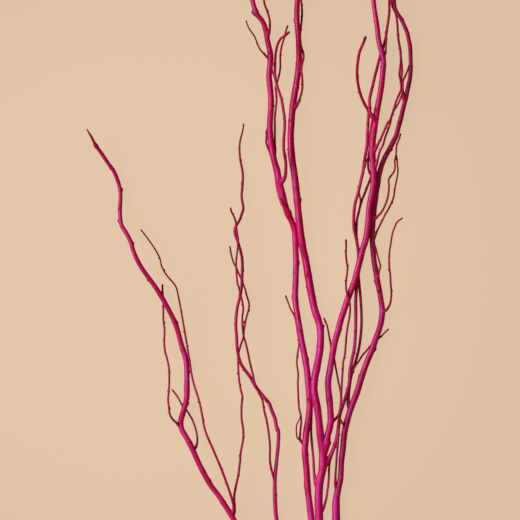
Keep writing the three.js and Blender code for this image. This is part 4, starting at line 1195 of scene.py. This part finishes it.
class Recipe:
    """A material's node tree, with short ways to add to it."""

    def __init__(self, name: str) -> None:
        """Start a material with a plain shader.

        Args:
            name: the material's name.
        """
        self.material = bpy.data.materials.new(name)
        self.material.use_nodes = True
        self.tree = self.material.node_tree
        self.shader = self.tree.nodes["Principled BSDF"]

    def node(self, kind: str, **settings: object) -> Node:
        """Add a node.

        Args:
            kind: the node's type, without the ShaderNode in front.
            settings: the node's own settings.

        Returns:
            The node.
        """
        node = self.tree.nodes.new(f"ShaderNode{kind}")
        for name, value in settings.items():
            setattr(node, name, value)
        return node

    def feed(self, socket: NodeSocket, value: "NodeSocket | float | Sequence[float]") -> None:
        """Give a socket a value, or link another node to it.

        Args:
            socket: the input.
            value: the number, colour or vector, or the output to link.
        """
        if isinstance(value, NodeSocket):
            self.tree.links.new(value, socket)
        elif isinstance(value, (int, float)):
            socket.default_value = value
        else:
            socket.default_value = (*value, 1.0) if len(value) < len(socket.default_value) else value

    def attribute(self, name: str) -> NodeSocket:
        """Return a vector that the mesh carries at each corner."""
        return self.node("Attribute", attribute_name=name).outputs["Vector"]

    def axes(self, vector: NodeSocket) -> list[NodeSocket]:
        """Return a vector's three numbers."""
        split = self.node("SeparateXYZ")
        self.feed(split.inputs[0], vector)
        return list(split.outputs)

    def stretched(self, vector: NodeSocket, scale: Sequence[float]) -> NodeSocket:
        """Return a vector with each of its axes scaled."""
        scaled = self.node("VectorMath", operation="MULTIPLY")
        self.feed(scaled.inputs[0], vector)
        self.feed(scaled.inputs[1], scale)
        return scaled.outputs[0]

    def noise(
        self, vector: NodeSocket, scale: float, detail: float = 3.0, roughness: float = 0.5
    ) -> NodeSocket:
        """Add a noise.

        Args:
            vector: where it is read.
            scale: how many of its bumps there are in a metre.
            detail: how many finer layers it has.
            roughness: how strong the finer layers are.

        Returns:
            The noise, around 0.5.
        """
        noise = self.node("TexNoise")
        self.feed(noise.inputs["Vector"], vector)
        self.feed(noise.inputs["Scale"], scale)
        self.feed(noise.inputs["Detail"], detail)
        self.feed(noise.inputs["Roughness"], roughness)
        return noise.outputs["Fac"]

    def between(
        self, value: NodeSocket, low: float, high: float, to_low: float = 0.0, to_high: float = 1.0
    ) -> NodeSocket:
        """Turn a range of one value smoothly into another.

        Args:
            value: the value.
            low: the value that gives to_low.
            high: the value that gives to_high.
            to_low: what low becomes.
            to_high: what high becomes.

        Returns:
            The new value.
        """
        ranged = self.node("MapRange", interpolation_type="SMOOTHSTEP")
        for socket, number in zip(ranged.inputs, (value, low, high, to_low, to_high)):
            self.feed(socket, number)
        return ranged.outputs[0]

    def maths(
        self, operation: str, first: "NodeSocket | float", second: "NodeSocket | float" = 0.0
    ) -> NodeSocket:
        """Return the result of a sum on one or two numbers."""
        node = self.node("Math", operation=operation)
        self.feed(node.inputs[0], first)
        self.feed(node.inputs[1], second)
        return node.outputs[0]

    def mixed(
        self, share: "NodeSocket | float", first: "NodeSocket | Colour", second: "NodeSocket | Colour"
    ) -> NodeSocket:
        """Mix two colours.

        Args:
            share: how much of the second there is.
            first: the first colour.
            second: the second colour.

        Returns:
            The mixed colour.
        """
        mix = self.node("Mix", data_type="RGBA")
        self.feed(mix.inputs[0], share)
        self.feed(mix.inputs[6], first)
        self.feed(mix.inputs[7], second)
        return mix.outputs[2]

    def bumped(self, height: NodeSocket, depth: float) -> None:
        """Give the shader a bump.

        Args:
            height: how high the surface is, from 0 to 1.
            depth: how far that is, in metres.
        """
        bump = self.node("Bump")
        self.feed(bump.inputs["Strength"], 1.0)
        self.feed(bump.inputs["Distance"], depth)
        self.feed(bump.inputs["Height"], height)
        self.feed(self.shader.inputs["Normal"], bump.outputs[0])


# The noises in the bark, in this order: patches, streaks, furrows, specks and lenticels. Each has its stretch
# (below 1 draws it out along that axis), its bumps in a metre, its finer layers and how strong those are.
BARK_NOISES = (
    ((1.0, 1.0, 0.28), 75, 2.0, 0.5),
    ((1.0, 1.0, 0.07), 620, 4.0, 0.6),
    ((1.0, 1.0, 0.045), 900, 2.0, 0.5),
    ((1.0, 1.0, 1.0), 1500, 2.0, 0.5),
    ((0.55, 0.55, 1.0), 520, 0.0, 0.5),
)
BARK_DEPTH = 0.35 * MM

# The sawn wood: how far apart its rings are, how much they wander, and how deep the saw has scored it. Its
# noises are for the wandering, the fibres and the saw's scores: bumps in a metre, and finer layers.
RING_SPACING = 1.1 * MM
RING_WOBBLE = 0.9 * MM
SAWN_DEPTH = 0.3 * MM
WANDER_NOISE = (260, 2.0)
FIBRE_NOISE = (900, 3.0)
SAW_NOISE = (1400, 3.0)


@dataclass(frozen=True)
class DyedBark:
    """Smooth willow bark that has been dyed, and its colours.

    Attributes:
        name: the material's name.
        foot: the dye near the butts, partly its own colour and partly a painted violet sheen that is brighter
            low down.
        head: the dye near the tips.
        shoot: thin shoots, where the brown of the bark shows through the dye.
        violet_dye_and_painted_sheen: the patches where the dye lies thick, which also carry a painted violet
            sheen.
        pale: the streaks where it is worn.
        dark: the furrows.
        scar: buds, leaf scars and knots.
        dead: dry tips and broken ends.
        sheen: the tint of the shine.
        dye_turns: where along the bunch foot starts to turn into head and where it has, in metres.
        violet_and_sheen_thins: where along the bunch the violet and its painted sheen start to thin out and
            where they have, in metres.
        roughness: how rough the bark is between and on the streaks.
        shine: how much thick and thin limbs shine.
    """

    name: str
    foot: Colour
    head: Colour
    shoot: Colour = (0.32, 0.011, 0.032)
    violet_dye_and_painted_sheen: Colour = (0.58, 0.005, 0.27)
    pale: Colour = (0.74, 0.022, 0.24)
    dark: Colour = (0.26, 0.001, 0.035)
    scar: Colour = (0.26, 0.004, 0.05)
    dead: Colour = (0.10, 0.022, 0.016)
    sheen: Colour = (0.75, 0.34, 1.0)
    dye_turns: tuple[float, float] = (-0.25, 0.34)
    violet_and_sheen_thins: tuple[float, float] = (-0.2, 0.34)
    roughness: tuple[float, float] = (0.28, 0.48)
    shine: tuple[float, float] = (0.85, 0.3)

    def material(self) -> Material:
        """Make the bark's material.

        Returns:
            The material.
        """
        recipe = Recipe(self.name)
        grain = recipe.attribute("grain")
        thickness, scarred, dead = recipe.axes(recipe.attribute("growth"))
        height = recipe.axes(recipe.node("TexCoord").outputs["Object"])[1]
        patches, streaks, furrows, specks, lenticels = (
            recipe.noise(recipe.stretched(grain, stretch), scale, detail, roughness)
            for stretch, scale, detail, roughness in BARK_NOISES
        )

        # The dye turns from foot to head along the bunch. The foot's extra blue is partly a painted violet
        # sheen, brighter low down.
        dye = recipe.mixed(recipe.between(height, *self.dye_turns), self.foot, self.head)
        # Violet patches: partly dye lying thick, partly a painted violet sheen, which is full near the butts
        # and thins to 0.55 towards the tips.
        painted_sheen_by_height = recipe.between(height, *self.violet_and_sheen_thins, 1.0, 0.55)
        share = recipe.maths("MULTIPLY", recipe.between(patches, 0.5, 0.72, 0.0, 0.9), painted_sheen_by_height)
        dye = recipe.mixed(share, dye, self.violet_dye_and_painted_sheen)
        # Each layer starts to show at the first value and is full at the second, where it takes its share.
        for value, starts, full, share, colour in (
            (streaks, 0.5, 0.78, 0.55, self.pale),
            (streaks, 0.5, 0.3, 0.35, self.dark),
            (furrows, 0.60, 0.72, 0.5, self.dark),
            (lenticels, 0.74, 0.8, 0.45, self.pale),
            (thickness, 4.6, 1.9, 0.85, self.shoot),
            (scarred, 0.1, 1.0, 0.55, self.scar),
            (dead, 0.1, 0.9, 1.0, self.dead),
        ):
            dye = recipe.mixed(recipe.between(value, starts, full, 0.0, share), dye, colour)

        # Streaks and lenticels stand out, furrows are cut in, and thin limbs are smoother than thick ones.
        relief = recipe.maths("MULTIPLY", streaks, 0.7)
        relief = recipe.maths("SUBTRACT", relief, recipe.between(furrows, 0.58, 0.72, 0.0, 0.5))
        relief = recipe.maths("ADD", relief, recipe.between(lenticels, 0.74, 0.8, 0.0, 0.35))
        relief = recipe.maths("ADD", relief, recipe.maths("MULTIPLY", specks, 0.22))
        relief = recipe.maths("MULTIPLY", relief, recipe.between(thickness, 1.8, 6.5, 0.25, 1.0))
        recipe.bumped(relief, BARK_DEPTH)

        inputs = recipe.shader.inputs
        recipe.feed(inputs["Base Color"], dye)
        recipe.feed(inputs["Roughness"], recipe.between(streaks, 0.3, 0.7, *self.roughness))
        recipe.feed(inputs["Specular IOR Level"], recipe.between(thickness, 5.0, 2.2, *self.shine))
        recipe.feed(inputs["Specular Tint"], self.sheen)
        return recipe.material


@dataclass(frozen=True)
class CutWood:
    """The sawn end of a willow stem: pale wood with faint rings and a dark pith.

    Attributes:
        name: the material's name.
        wood: the wood between the rings.
        ring: the rings.
        pith: the soft middle.
        stain: what the dye has left near the bark.
        roughness: how rough it is between the rings and on them.
    """

    name: str
    wood: Colour = (0.62, 0.43, 0.25)
    ring: Colour = (0.45, 0.27, 0.14)
    pith: Colour = (0.20, 0.10, 0.05)
    stain: Colour = (0.50, 0.07, 0.20)
    roughness: tuple[float, float] = (0.72, 0.86)

    def material(self) -> Material:
        """Make the cut wood's material.

        Returns:
            The material.
        """
        recipe = Recipe(self.name)
        thickness = recipe.axes(recipe.attribute("growth"))[0]
        flat = recipe.stretched(recipe.attribute("grain"), (1.0, 1.0, 0.0))
        length = recipe.node("VectorMath", operation="LENGTH")
        recipe.feed(length.inputs[0], flat)
        wobble = recipe.maths("MULTIPLY", recipe.noise(flat, *WANDER_NOISE), RING_WOBBLE)
        reach = recipe.maths("ADD", length.outputs["Value"], wobble)
        rings = recipe.maths("SINE", recipe.maths("MULTIPLY", reach, 2 * math.pi / RING_SPACING))
        share = recipe.maths("DIVIDE", reach, recipe.maths("MULTIPLY", thickness, MM / 2))

        wood = self.wood
        # As for the bark: where each layer starts, where it is full, and how much of it there is then.
        for value, starts, full, amount, colour in (
            (rings, 0.2, 1.0, 0.6, self.ring),
            (recipe.noise(flat, *FIBRE_NOISE), 0.45, 0.7, 0.4, self.ring),
            (share, 0.3, 0.16, 1.0, self.pith),
            (share, 0.72, 1.0, 0.85, self.stain),
        ):
            wood = recipe.mixed(recipe.between(value, starts, full, 0.0, amount), wood, colour)
        recipe.feed(recipe.shader.inputs["Base Color"], wood)
        recipe.feed(recipe.shader.inputs["Roughness"], recipe.between(rings, -1.0, 1.0, *self.roughness))
        recipe.bumped(recipe.noise(flat, *SAW_NOISE), SAWN_DEPTH)
        return recipe.material


# ---------- a stem ----------


@dataclass
class Stem:
    """One cut stem, from its butt to its tips.

    Attributes:
        node: the model's node that it stands for.
        slot: the name of a slot for its finish. It is not used.
        plan: its leader, with everything that grows on it.
        bark: the finish of its skin.
        wood: the finish of its sawn end.
        seed: where its random numbers start.
        piece: the finished object.
    """

    node: str
    slot: str
    plan: Branch
    bark: DyedBark
    wood: CutWood
    seed: int
    piece: Object | None = field(default=None, init=False)

    def build(self) -> None:
        """Grow the stem and fuse it into one skin, with its attributes and no modifiers."""
        leader = Limb(self.plan, np.random.default_rng(self.seed))
        limbs = leader.whole()
        barks = [limb.bark() for limb in limbs]
        buds = [bud for limb in limbs for bud in limb.buds()]
        materials = [self.bark.material(), self.wood.material()]
        mesh = self._fused(barks, buds, materials)
        self._write_bark(mesh, Shell.joined([*barks, *buds]))
        mesh.shade_smooth()
        self.piece = bpy.data.objects.new(f"{self.node}.bark", mesh)
        bpy.context.scene.collection.objects.link(self.piece)
        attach(self.piece, "root")
        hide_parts(self.node)
        log.info("%s: %d limbs, %d buds, %d faces", self.node, len(limbs), len(buds), len(mesh.polygons))

    def _fused(self, barks: list[Shell], buds: list[Shell], materials: list[Material]) -> Mesh:
        """Unite all the limbs and buds into one closed mesh.

        Args:
            barks: the limbs' shells, the leader's first.
            buds: the shells of the buds, scars and pegs.
            materials: bark, then cut wood.

        Returns:
            The mesh.
        """
        growths: Collection = bpy.data.collections.new(f"{self.node}.growths")
        bpy.context.scene.collection.children.link(growths)
        for index, shell in enumerate([*barks[1:], *buds]):
            growths.objects.link(shell.as_object(f"{self.node}.growth{index}", materials))
        leader = barks[0].as_object(f"{self.node}.leader", materials)
        bpy.context.scene.collection.objects.link(leader)
        union = leader.modifiers.new("fuse", "BOOLEAN")
        union.operation = "UNION"
        union.solver = "MANIFOLD"
        union.operand_type = "COLLECTION"
        union.collection = growths
        bpy.context.view_layer.update()
        mesh = bpy.data.meshes.new_from_object(leader.evaluated_get(bpy.context.evaluated_depsgraph_get()))
        mesh.name = f"{self.node}.bark"
        for part in [leader, *growths.objects]:
            spare = part.data
            bpy.data.objects.remove(part)
            bpy.data.meshes.remove(spare)
        bpy.data.collections.remove(growths)
        return mesh

    def _write_bark(self, mesh: Mesh, source: Shell) -> None:
        """Carry the grain and growth over to the fused mesh, and soften its joins.

        Args:
            mesh: the fused mesh.
            source: all the shells that it was fused from.
        """
        tree = KDTree(len(source.corners))
        for index, corner in enumerate(source.corners):
            tree.insert(corner, index)
        tree.balance()
        places = np.empty(len(mesh.vertices) * 3)
        mesh.vertices.foreach_get("co", places)
        places = places.reshape(-1, 3)
        found = [tree.find(place) for place in places]
        nearest = np.array([index for _, index, _ in found])
        moved = np.array([distance for _, _, distance in found])
        growth = source.growth[nearest]
        places = self._softened(mesh, places, np.nonzero(moved > NEW_CORNER)[0], growth[:, 0] * MM)
        places[:, 2] = np.maximum(places[:, 2], CLEAR_OF_SURFACE)
        mesh.vertices.foreach_set("co", places.ravel())
        for name, values in (("grain", source.grain[nearest]), ("growth", growth)):
            layer = mesh.attributes.new(name, "FLOAT_VECTOR", "POINT")
            layer.data.foreach_set("vector", values.ravel())
        mesh.update()

    @staticmethod
    def _softened(mesh: Mesh, places: np.ndarray, seam: np.ndarray, thickness: np.ndarray) -> np.ndarray:
        """Round the creases where limbs and buds meet.

        Args:
            mesh: the fused mesh.
            places: where its corners are.
            seam: the corners that lie on a crease.
            thickness: how thick the limb is at each corner, in metres.

        Returns:
            The new places.
        """
        if not len(seam):
            return places
        tree = KDTree(len(seam))
        for index in seam:
            tree.insert(places[index], int(index))
        tree.balance()
        reach = np.clip(thickness * SOFT_REACH, *SOFT_LIMITS)
        away = np.array([tree.find(place)[2] for place in places])
        give = SOFT_GIVE * np.clip(1 - away / reach, 0.0, 1.0)[:, None]
        edges = np.empty(len(mesh.edges) * 2, dtype=np.int64)
        mesh.edges.foreach_get("vertices", edges)
        ends = edges.reshape(-1, 2)
        count = np.bincount(edges, minlength=len(places))[:, None]
        for _ in range(SOFT_ROUNDS):
            total = np.zeros_like(places)
            np.add.at(total, ends[:, 0], places[ends[:, 1]])
            np.add.at(total, ends[:, 1], places[ends[:, 0]])
            places = places + give * (total / count - places)
        return places


# ---------- the studio ----------


@dataclass
class Studio:
    """A pale floor, soft light from the left, and a camera that looks straight down.

    Attributes:
        paper: the floor's colour.
        paper_lit: the part of it that the lights bring out, so that the shadows stay faint.
        view: the middle of the view, in metres.
        view_width: how wide the view is there, in metres.
        view_height: how high above the surface the middle of the bunch is, in metres.
        distance: how far above that the camera is, in metres.
        light_colour: the colour of both lights.
        key_strength, key_from, key_spread: the main light, on the left. It comes from a direction, and its
            spread is in degrees.
        front_strength, front_from, front_spread: a weak light from above.
        floor_glow: how much of its own light the floor has.
        floor_reach: how far the floor reaches each way, in metres.
        floor_drop: how far the floor is below the stems, in metres.
        light_pool_middle: the middle of the painted pool of light on the floor, in metres.
        light_pool_reach: how far from there the painted light starts to dim and stops dimming, in metres.
        edge_fade: how bright the floor is past that, as a share of its brightest part.
        room_below, room_above: the colours of the room that the bark sees.
        horizon_band: where the floor's colour starts, is full, starts to go and has gone, on a scale from 0
            straight down to 1 straight up.
        sensor: how wide the camera's sensor is, in mm.
        sees_to: how far the camera sees, in metres.
    """

    paper: Colour = (0.776, 0.578, 0.397)
    paper_lit: Colour = (0.07, 0.0575, 0.0425)
    view: tuple[float, float] = (0.0106, 0.0474)
    view_width: float = 0.624
    view_height: float = 0.012
    distance: float = 6.0
    light_colour: Colour = (0.97, 0.93, 1.0)
    key_strength: float = 2.95
    key_from: Point = (-0.78, 0.16, 0.60)
    key_spread: float = 42.0
    front_strength: float = 0.32
    front_from: Point = (-0.25, 0.1, 1.0)
    front_spread: float = 80.0
    floor_glow: float = 0.92
    floor_reach: float = 80.0
    floor_drop: float = 0.0005
    light_pool_middle: Point = (-0.13, 0.04, 0.0)
    light_pool_reach: tuple[float, float] = (0.2, 0.5)
    edge_fade: float = 0.93
    room_below: Colour = (0.16, 0.02, 0.02)
    room_above: Colour = (0.18, 0.03, 0.03)
    horizon_band: tuple[float, ...] = (0.475, 0.485, 0.53, 0.55)
    sensor: float = 36.0
    sees_to: float = 100.0

    def build(self) -> None:
        """Set up the floor, the lights and the camera."""
        self._floor()
        self._sky()
        self._lamp("key", self.key_strength, self.key_from, self.key_spread)
        self._lamp("front", self.front_strength, self.front_from, self.front_spread)
        self._camera()
        bpy.context.scene.view_settings.view_transform = "Standard"

    def _floor(self) -> None:
        """Lay a wide pale floor that throws no colour back onto the bark and glows with a painted pool of
        light.
        """
        reach = self.floor_reach
        corners = [(-reach, -reach, 0), (reach, -reach, 0), (reach, reach, 0), (-reach, reach, 0)]
        mesh = bpy.data.meshes.new("floor")
        mesh.from_pydata(corners, [], [(0, 1, 2, 3)])
        floor = bpy.data.objects.new("floor", mesh)
        floor.location.z = -self.floor_drop
        floor.visible_diffuse = False
        floor.visible_glossy = False
        bpy.context.scene.collection.objects.link(floor)
        recipe = Recipe("paper")
        # Painted light: the floor's glow and colour are brightest round light_pool_middle and dim towards the
        # edges, standing in for the key light's falloff.
        away = recipe.node("VectorMath", operation="DISTANCE")
        recipe.feed(away.inputs[0], recipe.node("TexCoord").outputs["Object"])
        recipe.feed(away.inputs[1], self.light_pool_middle)
        light_pool = recipe.between(away.outputs["Value"], *self.light_pool_reach, 1.0, self.edge_fade)
        black = (0.0, 0.0, 0.0)
        inputs = recipe.shader.inputs
        recipe.feed(inputs["Base Color"], recipe.mixed(light_pool, black, self.paper_lit))
        recipe.feed(inputs["Roughness"], 1.0)
        recipe.feed(inputs["Specular IOR Level"], 0.0)
        recipe.feed(inputs["Emission Color"], recipe.mixed(light_pool, black, self.paper))
        recipe.feed(inputs["Emission Strength"], self.floor_glow)
        mesh.materials.append(recipe.material)

    def _sky(self) -> None:
        """Light the room with a dim warm sky that is as bright as the floor at the horizon."""
        world = bpy.data.worlds.new("room")
        bpy.context.scene.world = world
        world.use_nodes = True
        nodes, links = world.node_tree.nodes, world.node_tree.links
        place = nodes.new("ShaderNodeTexCoord")
        split = nodes.new("ShaderNodeSeparateXYZ")
        links.new(place.outputs["Generated"], split.inputs[0])
        ramp = nodes.new("ShaderNodeValToRGB")
        rise = nodes.new("ShaderNodeMapRange")
        rise.inputs["From Min"].default_value = -1.0
        links.new(split.outputs["Z"], rise.inputs["Value"])
        links.new(rise.outputs[0], ramp.inputs[0])
        horizon = tuple(self.edge_fade * part for part in self.paper)
        positions = (0.0, *self.horizon_band, 1.0)
        colours = (self.room_below, self.room_below, horizon, horizon, self.room_above, self.room_above)
        elements = ramp.color_ramp.elements
        for index, (position, colour) in enumerate(zip(positions, colours)):
            stop = elements[index] if index < len(elements) else elements.new(position)
            stop.position = position
            stop.color = (*colour, 1.0)
        links.new(ramp.outputs[0], nodes["Background"].inputs["Color"])

    def _lamp(self, name: str, strength: float, source: Point, spread: float) -> None:
        """Hang a wide soft light, far away.

        Args:
            name: the light's name.
            strength: how strong it is.
            source: the direction that it comes from.
            spread: how wide it looks from the bunch, in degrees.
        """
        light = bpy.data.lights.new(name, "SUN")
        light.energy = strength
        light.color = self.light_colour
        light.angle = math.radians(spread)
        lamp = bpy.data.objects.new(name, light)
        lamp.rotation_euler = Vector(source).to_track_quat("Z", "Y").to_euler()
        bpy.context.scene.collection.objects.link(lamp)

    def _camera(self) -> None:
        """Hang the camera over the part of the bunch that it shows."""
        data = bpy.data.cameras.new("camera")
        data.sensor_width = self.sensor
        data.lens = self.sensor * self.distance / self.view_width
        data.clip_end = self.sees_to
        camera = bpy.data.objects.new("camera", data)
        camera.location = (*self.view, self.view_height + self.distance)
        bpy.context.scene.collection.objects.link(camera)
        bpy.context.scene.camera = camera


# ---------- the scene ----------


def stems() -> list[Stem]:
    """List the five stems of the bunch, from left to right.

    Returns:
        The stems, not built yet.
    """
    wood = CutWood("cut_wood")
    return [
        Stem(
            "left_stem", "left_bark", left_plan(),
            DyedBark("left_bark", foot=(0.60, 0.008, 0.11), head=(0.46, 0.005, 0.05)), wood, 11,
        ),
        Stem(
            "slender_stem", "slender_bark", slender_plan(),
            DyedBark("slender_bark", foot=(0.56, 0.009, 0.10), head=(0.44, 0.006, 0.035)), wood, 23,
        ),
        Stem(
            "middle_stem", "middle_bark", middle_plan(),
            DyedBark("middle_bark", foot=(0.57, 0.005, 0.10), head=(0.53, 0.003, 0.058)), wood, 37,
        ),
        Stem(
            "thick_stem", "thick_bark", thick_plan(),
            DyedBark("thick_bark", foot=(0.60, 0.004, 0.14), head=(0.51, 0.002, 0.030)), wood, 41,
        ),
        Stem(
            "right_stem", "right_bark", right_plan(),
            DyedBark("right_bark", foot=(0.47, 0.003, 0.07), head=(0.38, 0.002, 0.018)), wood, 59,
        ),
    ]


def main() -> None:
    """Build the bunch and its studio, and report each piece."""
    logging.basicConfig(level=logging.INFO, format="%(name)s: %(message)s")
    for stem in stems():
        stem.build()
    Studio().build()


if __name__ == "__main__":
    main()
